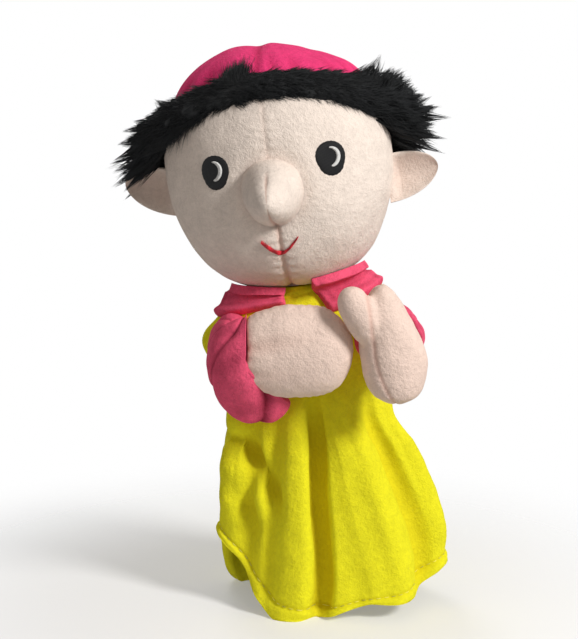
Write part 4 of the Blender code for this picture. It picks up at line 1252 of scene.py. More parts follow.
def lay_pile(name, clumps, hairs, width, seed, reach, spread, steps):
    """Lay long pile in clumps whose hairs draw together toward their tips; no clump hangs far down."""
    picker = random.Random(seed)
    pile = Pile()
    for number in range(clumps):
        azimuth = picker.uniform(-math.pi, math.pi)
        around = picker.uniform(0, 1)
        if number % 4 == 0:
            azimuth = math.copysign(math.radians(picker.gauss(84, 20)), azimuth)
            around *= 0.7
        aside = sideness(azimuth)
        base = ridge_point(azimuth, around)
        way = (pile_way(azimuth, around) + scattered(picker, 0.08 + 0.08 * aside)).normalized()
        length = pile_length(azimuth, around) * picker.uniform(0.72, 1.15) * reach
        droop = Vector((0, 0, picker.gauss(-0.06, 0.08))) + scattered(picker, 0.08)
        reach_way = way + droop
        reach_way.z = max(reach_way.z, pile_way(azimuth, around).z - MOST_DROOP)
        target = base + reach_way * length
        tone = picker.random()
        for _ in range(hairs):
            root = ridge_point(azimuth + picker.gauss(0, spread), around + picker.gauss(0, spread * 2.2))
            own = target + scattered(picker, (1.1 - 0.85 * aside) * MM) - root
            size = own.length * picker.uniform(0.62 + 0.2 * aside, 1.0)
            bend = scattered(picker, 0.03) + (own.normalized() - way) * 0.12
            heading = own.normalized() - bend
            shade_value = min(max(tone + picker.gauss(0, 0.2), 0), 1)
            hair = blade(root, heading, bend, size, width * (1 + 0.5 * aside), base, steps)
            pile.add(*hair, shade_value)
    return pile.finish(name)


def lay_parting():
    """A streak of hairs that is swept up over the crown from the parting."""
    picker = random.Random(21)
    pile = Pile()
    for _ in range(PARTING_HAIRS):
        azimuth = PARTING + picker.gauss(0, 0.07)
        root = ridge_point(azimuth, picker.uniform(0.55, 1.0))
        lean = picker.gauss(0.12, 0.3)
        heading = Vector((lean, 0.55, 1)).normalized()
        size = picker.uniform(5, 12) * MM * math.exp(-(lean - 0.12) ** 2 * 3)
        bend = Vector((lean * 0.3, 0.35, -0.1)) + scattered(picker, 0.08)
        pile.add(*blade(root, heading, bend, size, 0.2 * MM, root), picker.random())
    pile.finish("parting_hairs")


def lay_forehead_hairs():
    """A few short thin hairs that stray down over the forehead."""
    picker = random.Random(12)
    pile = Pile()
    for number in range(FOREHEAD_HAIRS):
        azimuth = picker.uniform(-1.1, 1.15) if number % 2 else picker.uniform(-1.1, -0.55)
        root = ridge_point(azimuth, picker.uniform(0.0, 0.08))
        heading = Vector((math.copysign(0.8, azimuth - PARTING), -0.3, -0.8)) + scattered(picker, 0.25)
        size = picker.uniform(2, 6) * (1 + 1.4 * math.exp(-((azimuth + 0.9) / 0.3) ** 2)) * MM
        bend = Vector((0, 0.1, 0)) + scattered(picker, 0.12)
        pile.add(*blade(root, heading.normalized(), bend, size, 0.11 * MM, root, 2), picker.random())
    pile.finish("forehead_hairs")


def make_fur():
    """The fur band: a rough under-layer and the hairs that lie on it."""
    azimuth = np.linspace(-math.pi, math.pi, 240, endpoint=False)[None, :]
    around = np.linspace(-0.02, 1.02, 44)[:, None]
    points = band_ridge(azimuth + 0 * around, around + 0 * azimuth)
    points = points + 1.1 * MM * wobble(points, 3.5 * MM, 7.7)[..., None] * np.array((0.6, 0.6, 0.6))
    strands = wobble(points, 1.5 * MM, 3.3) * 0.5 + 0.5
    world = to_world(points, HEAD_PLACE).reshape(-1, 3)
    faces = grid_faces(*points.shape[:2], True)
    values = {"along": strands * 0.3, "strand": strands}
    core = make_piece("fur_ground", world, faces, cloth_material("long_fur"), values)
    belongs(core, "long_fur", "hair_band")
    for layer in PILE_LAYERS:
        lay_pile(*layer)
    lay_parting()
    lay_forehead_hairs()


# Tunic


def wrinkle_field(azimuth, row):
    """Folds, dents and soft gathers of the yellow cloth, beside the large folds it shares with its solid."""
    degrees = np.degrees(azimuth)
    total = 0.3 * MM * np.sin(degrees / 5.2 + 1.7 * np.sin(row * 0.9)) * gauss(row - 6.0, 1.2)
    for waist, hem, depth, half_width in CREASES:
        centre = hem + (waist - hem) * np.clip(row / 5, 0, 1.2)
        centre = centre + 1.2 * np.sin(row * 1.3 + waist)
        fading = smooth_step((6.3 - row) / 2.2) * (0.55 + 0.45 * smooth_step(row / 1.2))
        total = total + depth * MM * gauss(turned(degrees - centre), half_width) * fading
    for at, level, wide, tall, depth, lean in CRUSHES:
        across = turned(degrees - at) + lean * (row - level)
        total = total + depth * MM * gauss(across, wide) * gauss(row - level, tall)
    return total


def hem_shape(row):
    """The rolled hem: a soft round edge, with a drawn-in stitch line above it."""
    roll = 1.5 * MM * (1 - np.clip(row / (HEM_TOP * 1.1), 0, 1) ** 4) ** 0.5
    line = -0.5 * MM * gauss(row - HEM_STITCH_ROW, 0.06)
    return roll + line


def tunic_cloth(azimuth, row, seams):
    """Outer and inner points of a tunic panel and how much painted shade falls in its creases."""
    outer = tunic_surface(azimuth, row)
    normals = surface_normals(tunic_surface, azimuth, np.clip(row, 0.004, 9.996))
    feet = 1 - smooth_step(row / 0.05)
    normals[..., 2] *= 1 - feet
    normals /= np.linalg.norm(normals, axis=-1, keepdims=True)
    degrees = np.degrees(azimuth)
    relief = wrinkle_field(azimuth, row) * smooth_step(row / 0.4) * smooth_step((9.6 - row) / 1.2)
    relief += 0.5 * MM * wobble(outer, 16 * MM, 4.4) * smooth_step(row / 0.5)
    relief += 0.22 * MM * wobble(outer, 5 * MM, 6.1) * smooth_step(row / 0.5)
    ruffle = 0.6 * MM * np.sin(degrees / 3.1 + 2 * np.sin(degrees / 17))
    ruffle = ruffle * np.exp(-row / 0.35) * smooth_step(row / 0.08)
    groove = np.zeros_like(relief)
    for seam in seams:
        away = turned(degrees - seam) / 180 * math.pi * SEAM_REACH
        groove += gauss(away, 1.2 * MM) + 0.4 * gauss(away, 4 * MM)
    hem = hem_shape(row + 0 * degrees)
    relief += hem + ruffle - get_sizes().seam_depth * 0.7 * groove
    shaped = outer + normals * relief[..., None]
    wall = TUNIC_WALL + 2 * np.maximum(hem, 0) * 0.9
    inside = shaped - normals * wall[..., None]
    shaped[..., 2] = np.maximum(shaped[..., 2], 0.0)
    inside[..., 2] = np.maximum(inside[..., 2], 0.0)
    # Painted shade in the fold valleys, along the hem's stitch line and in the seam grooves.
    valley = np.clip(-(fold_reach(degrees, row) + relief - hem) / (11 * MM), 0, 1) * 0.6
    valley += 0.2 * gauss(row - HEM_STITCH_ROW, 0.06) + 0.5 * np.clip(groove, 0, 1)
    return shaped, inside, np.clip(valley, 0, 1)


def tunic_panel(name, start, end, columns):
    """One panel of the tunic between two azimuths, with closer rows at its hem."""
    bare_rows = np.concatenate([np.linspace(0, 0.6, 24)[:-1], np.linspace(0.6, 10, 120)])[:, None]
    azimuth = np.radians(np.linspace(start, end, columns))[None, :] + 0 * bare_rows
    row = bare_rows + 0 * azimuth
    outer, inner, crease = tunic_cloth(azimuth, row, SEAM_AZIMUTHS)
    material = cloth_material("yellow_plush")
    made = thick_cloth(name + "_cloth", to_world(outer), to_world(inner), material, crease)
    belongs(made, "yellow_plush", name)
    return made


def make_tunic():
    """The tunic's front and back panels."""
    front = tunic_panel("tunic_front", -90, 90, 200)
    back = tunic_panel("tunic_back", 90, 270, 150)


def hem_threads():
    """The running stitches that hold the rolled hem."""
    paths = []
    step = get_sizes().hem_stitch
    degrees = -88.0
    while degrees < 268:
        span = step * 0.62 / (50 * MM) / math.pi * 180
        path = []
        for share in np.linspace(0, 1, 5):
            here = math.radians(degrees + span * share)
            lift = 0.1 * MM + 0.35 * MM * math.sin(math.pi * share)
            outer, inner = tunic_cloth(np.array([[here]]), np.array([[HEM_STITCH_ROW]]), ())[:2]
            away = outer[0, 0] - inner[0, 0]
            path.append(to_world(outer[0, 0] + away / np.linalg.norm(away) * lift))
        paths.append(path)
        degrees += span / 0.62
    made = threads_mesh("hem_stitches", paths, 0.17 * MM, yellow_thread(), 5)
    belongs(made, "yellow_plush")


def yellow_thread():
    """Thread a little paler than the tunic."""
    return satin_thread("hem_thread", toward(get_colours().yellow, (1, 1, 1), 0.15), 0.5 * MM, 0.3)


# Collar


# One turned flap of the collar: azimuths, rows of the tunic, and heights up the jaw
Flap = namedtuple("Flap", "start end low_front low_side top_front top_side stand_front stand_side")
COLLAR_BEND = 0.62
COLLAR_LEFT = Flap(-12, -80, 8.45, 8.0, 9.35, 9.1, 1.5 * MM, 5 * MM)
COLLAR_RIGHT = Flap(15, 76, 8.1, 8.45, 9.35, 9.15, 5 * MM, 8 * MM)


def collar_base(azimuth, up, flap, share, offset):
    """Points of a flap: over the tunic at first, then standing up against the jaw."""
    side = np.sin(math.pi / 2 * share)
    low = flap.low_front + (flap.low_side - flap.low_front) * side
    top = flap.top_front + (flap.top_side - flap.top_front) * side
    row = low + (top - low) * np.minimum(up / COLLAR_BEND, 1)
    normals = surface_normals(tunic_surface, azimuth, np.clip(row, 0.01, 8.996))
    on_tunic = tunic_surface(azimuth, row) + normals * offset[..., None]
    stand = flap.stand_front + (flap.stand_side - flap.stand_front) * side
    turned_azimuth = azimuth - HEAD_YAW
    latitude = latitude_at(NECK_HEIGHT + stand) + 0 * azimuth
    jaw = head_surface(turned_azimuth, latitude)
    jaw = jaw + surface_normals(head_surface, turned_azimuth, latitude) * offset[..., None]
    on_jaw = moved(jaw, HEAD_PLACE)
    share_up = smooth_step((up - COLLAR_BEND * 0.7) / (1 - COLLAR_BEND * 0.7))[..., None]
    return on_tunic * (1 - share_up) + on_jaw * share_up


def collar_flap(name, flap, seed):
    """A padded flap with a rolled lower edge, a seam inside the edge and soft cross folds."""
    up = np.linspace(0, 1, 60)[:, None]
    share = np.linspace(0, 1, 120)[None, :]
    azimuth = np.radians(flap.start + (flap.end - flap.start) * share) + 0 * up
    if flap.end < flap.start:
        azimuth = azimuth[:, ::-1]
        share = share[:, ::-1]
    up = up + 0 * share
    share = share + 0 * up
    ends = np.minimum(share, 1 - share)
    edge = np.minimum(np.minimum(up / 0.12, (1 - up) / 0.1), 1)
    roundness = (1 - (1 - edge) ** 2.4) ** 0.5 * (1 - (1 - np.minimum(ends / 0.06, 1)) ** 2.4) ** 0.5
    roundness = np.maximum(roundness, 0.04)
    thick = 3.0 * MM * roundness
    roll = 1.5 * MM * gauss(up - 0.1, 0.09) * roundness
    seam = -0.2 * MM * gauss(up - 0.24, 0.06) - 0.2 * MM * gauss(ends - 0.11, 0.04) * smooth_step(up * 6)
    cross = 0.3 * MM * np.sin(share * 9 + up * 4 + seed) * gauss(up - 0.5, 0.4) * roundness
    fold = -1.0 * MM * gauss(up - 0.52 - 0.12 * np.sin(share * 3 + seed), 0.18) * smooth_step(ends / 0.3)
    ridge = 1.3 * MM * gauss(up - 0.8, 0.2)
    plain = collar_base(azimuth, up, flap, share, 0.6 * MM + 0 * up)
    lumps = 1.0 * MM * wobble(plain, 12 * MM, seed) * roundness
    height = 0.85 * MM + thick + roll + (seam + fold + ridge) * roundness + cross + lumps
    outer = collar_base(azimuth, up, flap, share, np.maximum(height, 0.9 * MM))
    inner = collar_base(azimuth, up, flap, share, 0.6 * MM + 0 * up)
    # Painted shade along the seams and in the cross fold.
    crease = 0.15 * gauss(up - 0.24, 0.05) + 0.15 * gauss(ends - 0.11, 0.04)
    crease = crease + 0.3 * gauss(up - 0.52 - 0.12 * np.sin(share * 3 + seed), 0.15)
    material = cloth_material("magenta_plush")
    made = thick_cloth(name + "_cloth", to_world(outer), to_world(inner), material, np.clip(crease, 0, 1))
    belongs(made, "magenta_plush", name)


def make_collar():
    """Both flaps of the collar."""
    collar_flap("collar_left", COLLAR_LEFT, 1.3)
    collar_flap("collar_right", COLLAR_RIGHT, 4.7)


# Sleeves


def sleeve_shell(rings, root, wall, seed):
    """Points of a sleeve's cloth at a depth under its outside, with how much painted shade falls on each."""
    places = np.linspace(0.25, len(rings) - 1, 90)
    here = spline(rings, places)
    angle = np.linspace(0, FULL_TURN, 110, endpoint=False)[None, :]
    heading = here[:, RING_HEADING]
    heading = heading / np.linalg.norm(heading, axis=1, keepdims=True)
    across = np.stack([heading[:, 1], -heading[:, 0], np.zeros(len(places))], axis=-1)[:, None, :]
    low = np.maximum(-np.sin(angle), 0) ** 1.5
    to_cuff = ((len(rings) - 1) - places)[:, None]
    gather = 0.8 * np.sin(angle * 11 + seed + 1.5 * np.sin(angle * 3)) * np.exp(-to_cuff / 0.55)
    gather = gather + 0.5 * np.sin(angle * 7 + seed * 2) * gauss(to_cuff - 2.2, 1.0)
    turn_in = -1.6 * np.exp(-to_cuff / 0.1)
    grown = gather + turn_in - wall
    half_width = here[:, RING_HALF_WIDTH][:, None] + grown
    half_height = here[:, RING_HALF_HEIGHT][:, None] + grown
    places_mm = here[:, None, RING_MIDDLE] + across * (half_width * np.cos(angle))[..., None]
    places_mm[..., 2] += half_height * np.sin(angle)
    share = 1 - 0.2 * (wall > 0)
    places_mm += here[:, None, RING_PUSH] * (low * share)[..., None]
    points = places_mm * MM + np.array(root)
    winding = angle * 2 + to_cuff * 1.5 + 0.8 * np.sin(angle + to_cuff * 0.9 + seed) + seed
    valley = (1 - np.abs(np.sin(winding))) ** 2.5
    crumple = (0.3 - valley) * smooth_step((to_cuff - 0.15) / 0.6)
    depth = 1.7 * MM * (1 + 0.8 * low)
    lumps = 0.5 * MM * wobble(points, 14 * MM, seed + 1)
    relief = depth * crumple + lumps + 0.3 * MM * wobble(points, 5 * MM, seed + 3)
    centre = here[:, None, RING_MIDDLE] * MM + np.array(root)
    away = points - centre
    away /= np.maximum(np.linalg.norm(away, axis=-1, keepdims=True), 1e-9)
    # Painted shade in the gathers, at the turned-in cuff and in the crumples, stronger on the lower side that
    # faces away from the light.
    crease = np.clip(-gather, 0, 1) * 0.5 + 0.6 * np.exp(-to_cuff / 0.08)
    crease = crease + np.clip(-crumple, 0, 1) * (0.7 + 0.7 * low)
    return points + away * relief[..., None], np.clip(crease, 0, 1)


def make_sleeve(name, rings, root, seed, nodes):
    """A sleeve of thin cloth, open at both ends."""
    outer, crease = sleeve_shell(rings, root, 0, seed)
    inner = sleeve_shell(rings, root, SLEEVE_WALL, seed)[0]
    loop = np.concatenate([outer, inner[::-1]])
    values = np.concatenate([crease, crease[::-1]])
    world = to_world(loop).reshape(-1, 3)
    faces = loop_faces(*loop.shape[:2])
    made = make_piece(name, world, faces, cloth_material("magenta_plush"), {"crease": values})
    belongs(made, "magenta_plush", *nodes)


def make_sleeves():
    """Both sleeves."""
    left_nodes = ("sleeve_left", "sleeve_left_forearm")
    right_nodes = ("sleeve_right",)
    make_sleeve("left_sleeve_cloth", LEFT_SLEEVE, SLEEVE_LEFT_ROOT, 2.2, left_nodes)
    make_sleeve("right_sleeve_cloth", RIGHT_SLEEVE, SLEEVE_RIGHT_ROOT, 5.9, right_nodes)


# Mitts


def make_left_mitt():
    """The left mitt, laid level across the chest, with soft folds across it and a seam round its edge."""
    angle = np.linspace(0, FULL_TURN, 160, endpoint=False)[None, :]
    share = (np.linspace(0, 1, 130) ** 0.95)[:-1, None]
    swell = np.sin(math.pi * np.minimum(share / 1.1 + 0.13, 0.5))
    end = np.maximum(share - 0.5, 0) * 2
    round_off = (1 - end ** 2.6) ** 0.45
    grown = np.maximum((swell - 0.4) / 0.6, 0)
    cuff_height, wide_height = MITT_HALF_HEIGHT
    cuff_depth, wide_depth = MITT_HALF_DEPTH
    half_height = (cuff_height + (wide_height - cuff_height) * grown) * MM * round_off
    half_depth = (cuff_depth + (wide_depth - cuff_depth) * grown) * MM * round_off
    seam = get_sizes().seam_depth * gauss(np.cos(angle) * half_depth, 1.2 * MM)
    pinched = 0.9 * MM * gauss(np.cos(angle) * half_depth, 5 * MM)
    gather = 0.35 * MM * np.sin(angle * 13 + 1 + 2 * np.sin(angle * 3)) * np.exp(-share / 0.07)
    beside = gauss(np.abs(np.cos(angle) * half_depth) - 3 * MM, 2.5 * MM)
    pucker = 0.12 * MM * np.sin(share * 71 + 3 * np.sin(share * 9)) * beside
    grow = gather + pucker - seam - pinched - 1.2 * MM * np.exp(-share / 0.03)
    start = np.array(LEFT_CUFF)
    points = np.stack([
        start[0] + MITT_GAP + MITT_LENGTH * share + 0 * angle,
        start[1] - (half_depth + grow) * np.cos(angle),
        start[2] + (half_height + grow) * np.sin(angle),
    ], axis=-1)
    above = points[..., 2] - start[2]
    folds = -1.0 * MM * gauss(above - 3 * MM - 9 * MM * share, 4 * MM) * smooth_step(1.1 - share * 1.4)
    folds = folds - 0.6 * MM * gauss(above + 9 * MM + 2 * MM * share, 3.5 * MM) * smooth_step(1 - share * 1.5)
    points[..., 1] -= folds * np.sign(np.cos(angle)) * np.abs(np.cos(angle))
    normals = grid_normals(points, True)
    if (normals[40, 0] * np.array((0, -1, 0))).sum() < 0:
        normals = -normals
    lumps = 0.6 * MM * wobble(points, 13 * MM, 9.1) + 0.2 * MM * wobble(points, 5 * MM, 2.2)
    points = points + normals * lumps[..., None]
    # Painted shade along the seam, at the cuff, in the folds and in the gathers.
    crease = 0.8 * gauss(np.cos(angle) * half_depth, 1.5 * MM) + 0.6 * np.exp(-share / 0.03)
    crease = crease + np.clip(-folds / (5 * MM), 0, 0.25) + 0.15 * np.clip(-gather / MM, 0, 1)
    tip = start + np.array((MITT_GAP + MITT_LENGTH, 0, 0))
    cuff = start + np.array((MITT_GAP, 0, 0))
    material = cloth_material("mitt_plush")
    ends = (to_world(cuff), to_world(tip))
    made = skin("left_mitt_plush", to_world(points), material, True, np.clip(crease, 0, 1), *ends)
    outward_normals(made)
    belongs(made, "mitt_plush", "hand_left")


def outward_normals(piece):
    """Turn a closed mesh's faces out, by the sign of its volume."""
    mesh = piece.data
    mesh.calc_loop_triangles()
    middle = sum((vertex.co for vertex in mesh.vertices), Vector()) / len(mesh.vertices)
    volume = 0.0
    for triangle in mesh.loop_triangles:
        a, b, c = (mesh.vertices[index].co - middle for index in triangle.vertices)
        volume += a.dot(b.cross(c))
    if volume < 0:
        mesh.flip_normals()


def right_palm():
    """The right mitt's palm in millimetres from its middle, with its two end points."""
    rows = np.linspace(0, len(RIGHT_MITT_ROWS) - 1, 70)
    here = spline(RIGHT_MITT_ROWS, rows)
    angle = np.linspace(0, FULL_TURN, 80, endpoint=False)[None, :]
    half_width = ((here[:, 2] - here[:, 1]) / 2)[:, None]
    half_depth = 12 * np.minimum(1, half_width / 14) ** 0.6
    points = np.stack([
        ((here[:, 1] + here[:, 2]) / 2)[:, None] + half_width * np.cos(angle),
        half_depth * np.sin(angle),
        here[:, 0][:, None] + 0 * angle,
    ], axis=-1)
    return points, np.array((0.5, 0, -27)), np.array((-5.5, 0, 29.5))


def right_thumb():
    """The right mitt's thumb in millimetres from its middle, with its two end points."""
    start = np.array((-9.0, -2, 2))
    end = np.array((-23.5, -9, 28))
    along = (end - start) / np.linalg.norm(end - start)
    across = np.cross((0, 1, 0), along)
    across = across / np.linalg.norm(across)
    beside = np.cross(along, across)
    share = np.linspace(0.02, 0.98, 50)[:, None]
    angle = np.linspace(0, FULL_TURN, 60, endpoint=False)[None, :]
    radius = 8.5 * (1 - np.abs(2 * share - 1) ** 2.6) ** 0.5
    points = start + (end - start) * share[..., None]
    points = points + across * (radius * np.cos(angle))[..., None]
    points = points + beside * (radius * np.sin(angle))[..., None]
    return points, start, end


def remeshed(piece, voxel):
    """The piece's shape after a voxel remesh and a light smoothing, as a new mesh."""
    modifier = piece.modifiers.new("join", "REMESH")
    modifier.mode = "VOXEL"
    modifier.voxel_size = voxel
    modifier.use_smooth_shade = True
    smooth = piece.modifiers.new("soften", "SMOOTH")
    smooth.factor = 0.6
    smooth.iterations = 6
    shaped = piece.evaluated_get(bpy.context.evaluated_depsgraph_get()).to_mesh()
    points = np.array([vertex.co[:] for vertex in shaped.vertices])
    faces = [tuple(face.vertices) for face in shaped.polygons]
    normals = np.array([vertex.normal[:] for vertex in shaped.vertices])
    bpy.data.objects.remove(piece)
    return points, normals, faces


def make_right_mitt():
    """The right mitt with its thumb, sewn from two halves with a seam down its front."""
    parts = []
    for number, (grid, low, high) in enumerate((right_palm(), right_thumb())):
        world = to_world(grid * MM + np.array(RIGHT_MITT))
        tips = [to_world(tip * MM + np.array(RIGHT_MITT)) for tip in (low, high)]
        parts.append(skin("mitt_half_%d" % number, world, cloth_material("mitt_plush"), True, None, *tips))
    for part in parts:
        outward_normals(part)
    joined = join_meshes("mitt_parts", parts)
    points, normals, faces = remeshed(joined, 0.9 * MM)
    middle = np.array(puppet_shift()) + np.array(RIGHT_MITT)
    local = (points - middle) / MM
    front = local[:, 1] < 0
    seam_at = -10.6 - 0.11 * local[:, 2] + 0.011 * np.minimum(local[:, 2], 0) ** 2
    seam = gauss(local[:, 0] - seam_at, 1.0) * front
    beside = gauss(local[:, 0] - seam_at, 4.5) * front
    edge = gauss(local[:, 1] - 0.5, 1.0) * (local[:, 0] > 0)
    near_seam = gauss(np.abs(local[:, 0] - seam_at) - 2.2, 1.4)
    pucker = np.sin(local[:, 2] * 1.9 + 1.5 * np.sin(local[:, 2] * 0.4)) * near_seam * front
    relief = -get_sizes().seam_depth * (0.35 * seam + 0.25 * beside + 0.6 * edge) + 0.1 * MM * pucker
    relief += 0.6 * MM * wobble(points, 12 * MM, 4.9) + 0.2 * MM * wobble(points, 4.5 * MM, 7.2)
    # Painted shade along the front seam and the edge seam.
    crease = np.clip(0.45 * seam + 0.35 * edge, 0, 1)
    shaped = points + normals * relief[:, None]
    made = make_piece("right_mitt_plush", shaped, faces, cloth_material("mitt_plush"), {"crease": crease})
    belongs(made, "mitt_plush", "hand_right")


def join_meshes(name, parts):
    """One object from several meshes, which are removed."""
    points = []
    faces = []
    for part in parts:
        first = len(points)
        points.extend(vertex.co[:] for vertex in part.data.vertices)
        faces.extend(tuple(first + index for index in face.vertices) for face in part.data.polygons)
        bpy.data.objects.remove(part)
    return make_piece(name, points, faces, cloth_material("mitt_plush"))


def make_mitts():
    """Both mitts."""
    make_left_mitt()
    make_right_mitt()


# Inside the head


def make_filling():
    """The filling under the skin, with lumps of fibre."""
    azimuth = np.linspace(-math.pi, math.pi, INSIDE_COLUMNS, endpoint=False)[None, :]
    share = np.linspace(0, 0.98, 70)[:, None]
    latitude = NECK_LATITUDE + (math.pi / 2 - NECK_LATITUDE) * share
    surface = head_surface(azimuth + 0 * share, latitude + 0 * azimuth)
    normals = surface_normals(head_surface, azimuth + 0 * share, np.clip(latitude + 0 * azimuth, -1.5, 1.5))
    lumps = 0.8 * MM * wobble(surface, 8 * MM, 6.6)
    shaped = surface - normals * (3.4 * MM + lumps)[..., None]
    shaped[0] = surface[0] * np.array((0.86, 0.86, 1)) + np.array((0, 0, 1.5 * MM))
    fibre = plush("filling", (0.86, 0.85, 0.82), (0.55, 0.53, 0.5), 0.9 * MM, 0.1)
    tip = to_world(shaped[-1].mean(axis=0), HEAD_PLACE)
    filling = skin("head_filling", to_world(shaped, HEAD_PLACE), fibre, True, None, None, tip)
    belongs(filling, "filling", "head_stuffing")


def make_pocket():
    """The cloth pocket for the finger, seen only through the open hem."""
    azimuth = np.linspace(-math.pi, math.pi, INSIDE_COLUMNS, endpoint=False)[None, :]
    pocket_share = np.linspace(0, 1, 60)[:, None]
    rings = []
    for wall, order in ((0, 1), (POCKET_WALL, -1)):
        radius = (POCKET_RADIUS - wall) * (1 - np.clip((pocket_share - 0.8) / 0.2, 0, 1) ** 2 * 0.999) ** 0.5
        height = NECK_HEIGHT + (POCKET_DEPTH - wall) * pocket_share
        radius = radius + 0.25 * MM * np.sin(azimuth * 9 + pocket_share * 5)
        ring = (radius * np.sin(azimuth), -radius * np.cos(azimuth), height + 0 * azimuth)
        rings.append(np.stack(ring, axis=-1)[::order])
    loop = np.concatenate([rings[1], rings[0]])
    lining = plush("lining", (0.75, 0.60, 0.52), (0.45, 0.3, 0.25), 0.5 * MM, 0.08)
    faces = grid_faces(loop.shape[0], loop.shape[1], True)
    world = to_world(loop, HEAD_PLACE).reshape(-1, 3)
    pocket = make_piece("pocket_lining", world, faces, lining, {"crease": np.zeros(loop.shape[:2])})
    belongs(pocket, "lining", "finger_pocket")


def make_inside():
    """What lies inside the head."""
    make_filling()
    make_pocket()


# Stage


def floor_material():
    """Near-white floor that fades out away from the puppet."""
    sheet = ClothSheet("floor")
    grain = sheet.noise(0.4, 2, 0.5)
    colour = sheet.mix(grain, (0.92, 0.92, 0.92, 1), (0.95, 0.95, 0.95, 1))
    away = sheet.add("ShaderNodeVectorMath", {"operation": "LENGTH"}, {0: sheet.place()}, "Value")
    sheet.connect(sheet.surface.inputs["Alpha"], FLOOR_SEEN - FLOOR_SEEN * away.between(*FLOOR_FADE))
    return sheet.finish(colour, 0.75)


def area_light(name, place, size, power, colour, target):
    """A round light that points at the target."""
    light = bpy.data.lights.new(name, "AREA")
    light.shape = "DISK"
    light.size = size
    light.energy = power
    light.color = colour
    lamp = bpy.data.objects.new(name, light)
    lamp.location = place
    lamp.rotation_euler = (Vector(target) - Vector(place)).to_track_quat("-Z", "Y").to_euler()
    bpy.context.scene.collection.objects.link(lamp)


def white_surroundings():
    """White behind the puppet, soft grey light from all round."""
    world = bpy.data.worlds.new("surroundings")
    bpy.context.scene.world = world
    world.use_nodes = True
    nodes = world.node_tree.nodes
    links = world.node_tree.links
    nodes.clear()
    path = nodes.new("ShaderNodeLightPath")
    seen = path.outputs["Is Camera Ray"]
    for ray in ("Is Glossy Ray", "Is Transmission Ray"):
        either = nodes.new("ShaderNodeMath")
        either.operation = "MAXIMUM"
        links.new(seen, either.inputs[0])
        links.new(path.outputs[ray], either.inputs[1])
        seen = either.outputs[0]
    mixed = nodes.new("ShaderNodeMixShader")
    links.new(seen, mixed.inputs[0])
    for place, colour, strength in ((1, SURROUNDINGS_COLOUR, SURROUNDINGS_STRENGTH), (2, (1, 1, 1, 1), 1.0)):
        background = nodes.new("ShaderNodeBackground")
        background.inputs["Color"].default_value = colour
        background.inputs["Strength"].default_value = strength
        links.new(background.outputs[0], mixed.inputs[place])
    out = nodes.new("ShaderNodeOutputWorld")
    links.new(mixed.outputs[0], out.inputs["Surface"])


def make_floor():
    """A wide flat floor under the puppet."""
    mesh = bpy.data.meshes.new("floor")
    corners = [(side * FLOOR_REACH, depth * FLOOR_REACH, 0) for side, depth in FLOOR_CORNERS]
    mesh.from_pydata(corners, [], [(0, 1, 2, 3)])
    mesh.materials.append(floor_material())
    floor = bpy.data.objects.new("floor", mesh)
    bpy.context.scene.collection.objects.link(floor)


def make_camera(target):
    """The camera, at the photograph's angle."""
    camera = bpy.data.cameras.new("camera")
    camera.lens = CAMERA_LENS
    camera.sensor_width = CAMERA_SENSOR
    eye = bpy.data.objects.new("camera", camera)
    rise = math.radians(CAMERA_ELEVATION)
    eye.location = Vector(target) + CAMERA_DISTANCE * Vector((0, -math.cos(rise), math.sin(rise)))
    eye.rotation_euler = (math.pi / 2 - rise, 0, 0)
    bpy.context.scene.collection.objects.link(eye)
    bpy.context.scene.camera = eye


def make_stage():
    """Floor, lights, surroundings and camera."""
    make_floor()
    target = puppet_shift() + CAMERA_AIM
    for light in LIGHTS:
        area_light(*light, target)
    white_surroundings()
    make_camera(target)
    bpy.context.scene.view_settings.view_transform = "Standard"


# Operators and panel


class PUPPET_OT_stage(bpy.types.Operator):
    """Make the floor, lights and camera"""

    bl_idname = "puppet.stage"
    bl_label = "Make the stage"
    bl_options = {"REGISTER", "UNDO"}

    def execute(self, context):
        make_stage()
        return {"FINISHED"}


class PUPPET_OT_head(bpy.types.Operator):
    """Make the three panels of the head's skin"""

    bl_idname = "puppet.head"
    bl_label = "Make the head"
    bl_options = {"REGISTER", "UNDO"}

    def execute(self, context):
        make_head()
        return {"FINISHED"}


class PUPPET_OT_nose(bpy.types.Operator):
    """Make the stuffed nose"""

    bl_idname = "puppet.nose"
    bl_label = "Make the nose"
    bl_options = {"REGISTER", "UNDO"}

    def execute(self, context):
        make_nose()
        return {"FINISHED"}


class PUPPET_OT_ears(bpy.types.Operator):
    """Make both ears"""

    bl_idname = "puppet.ears"
    bl_label = "Make the ears"
    bl_options = {"REGISTER", "UNDO"}

    def execute(self, context):
        make_ears()
        return {"FINISHED"}


class PUPPET_OT_stitching(bpy.types.Operator):
    """Stitch the eyes and the mouth"""

    bl_idname = "puppet.stitching"
    bl_label = "Stitch the face"
    bl_options = {"REGISTER", "UNDO"}

    def execute(self, context):
        make_stitching()
        return {"FINISHED"}


class PUPPET_OT_crown(bpy.types.Operator):
    """Make the crown of the cap"""

    bl_idname = "puppet.crown"
    bl_label = "Make the cap's crown"
    bl_options = {"REGISTER", "UNDO"}

    def execute(self, context):
        make_crown()
        return {"FINISHED"}


class PUPPET_OT_fur(bpy.types.Operator):
    """Lay the long pile of the fur band"""

    bl_idname = "puppet.fur"
    bl_label = "Lay the fur"
    bl_options = {"REGISTER", "UNDO"}

    def execute(self, context):
        make_fur()
        return {"FINISHED"}


class PUPPET_OT_tunic(bpy.types.Operator):
    """Make the tunic's front and back"""

    bl_idname = "puppet.tunic"
    bl_label = "Make the tunic"
    bl_options = {"REGISTER", "UNDO"}

    def execute(self, context):
        make_tunic()
        return {"FINISHED"}


class PUPPET_OT_hem(bpy.types.Operator):
    """Stitch the tunic's hem"""

    bl_idname = "puppet.hem"
    bl_label = "Stitch the hem"
    bl_options = {"REGISTER", "UNDO"}

    def execute(self, context):
        hem_threads()
        return {"FINISHED"}


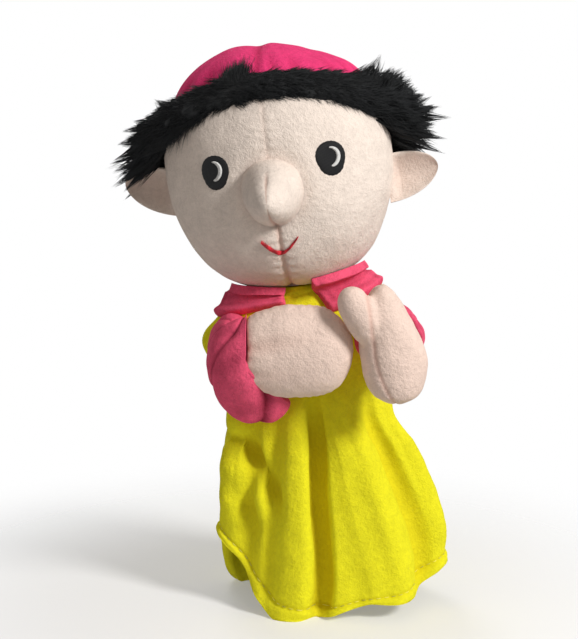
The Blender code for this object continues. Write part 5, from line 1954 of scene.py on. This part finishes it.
class PUPPET_OT_collar(bpy.types.Operator):
    """Make both flaps of the collar"""

    bl_idname = "puppet.collar"
    bl_label = "Make the collar"
    bl_options = {"REGISTER", "UNDO"}

    def execute(self, context):
        make_collar()
        return {"FINISHED"}


class PUPPET_OT_sleeves(bpy.types.Operator):
    """Make both sleeves"""

    bl_idname = "puppet.sleeves"
    bl_label = "Make the sleeves"
    bl_options = {"REGISTER", "UNDO"}

    def execute(self, context):
        make_sleeves()
        return {"FINISHED"}


class PUPPET_OT_mitts(bpy.types.Operator):
    """Make both padded mitts"""

    bl_idname = "puppet.mitts"
    bl_label = "Make the mitts"
    bl_options = {"REGISTER", "UNDO"}

    def execute(self, context):
        make_mitts()
        return {"FINISHED"}


class PUPPET_OT_inside(bpy.types.Operator):
    """Make the filling and the finger pocket"""

    bl_idname = "puppet.inside"
    bl_label = "Fill the head"
    bl_options = {"REGISTER", "UNDO"}

    def execute(self, context):
        make_inside()
        return {"FINISHED"}


OPERATORS = (
    PUPPET_OT_stage,
    PUPPET_OT_head,
    PUPPET_OT_nose,
    PUPPET_OT_ears,
    PUPPET_OT_stitching,
    PUPPET_OT_crown,
    PUPPET_OT_fur,
    PUPPET_OT_tunic,
    PUPPET_OT_hem,
    PUPPET_OT_collar,
    PUPPET_OT_sleeves,
    PUPPET_OT_mitts,
    PUPPET_OT_inside,
)


class PUPPET_PT_main(bpy.types.Panel):
    """Buttons of the puppet's pieces"""

    bl_idname = "PUPPET_PT_main"
    bl_label = "Puppet"
    bl_space_type = "VIEW_3D"
    bl_region_type = "UI"
    bl_category = "Puppet"

    def draw(self, context):
        for operator in OPERATORS:
            self.layout.operator(operator.bl_idname)
        for group in (context.scene.puppet_sizes, context.scene.puppet_colours):
            for key in group.bl_rna.properties.keys():
                if key not in ("rna_type", "name"):
                    self.layout.prop(group, key)


CLASSES = (PuppetSizes, PuppetColours) + OPERATORS + (PUPPET_PT_main,)


def register():
    for kind in CLASSES:
        bpy.utils.register_class(kind)
    bpy.types.Scene.puppet_sizes = PointerProperty(type=PuppetSizes)
    bpy.types.Scene.puppet_colours = PointerProperty(type=PuppetColours)


def unregister():
    del bpy.types.Scene.puppet_colours
    del bpy.types.Scene.puppet_sizes
    for kind in reversed(CLASSES):
        bpy.utils.unregister_class(kind)


def main():
    register()
    for operator in OPERATORS:
        getattr(bpy.ops.puppet, operator.bl_idname.split(".")[1])()


if __name__ == "__main__":
    main()
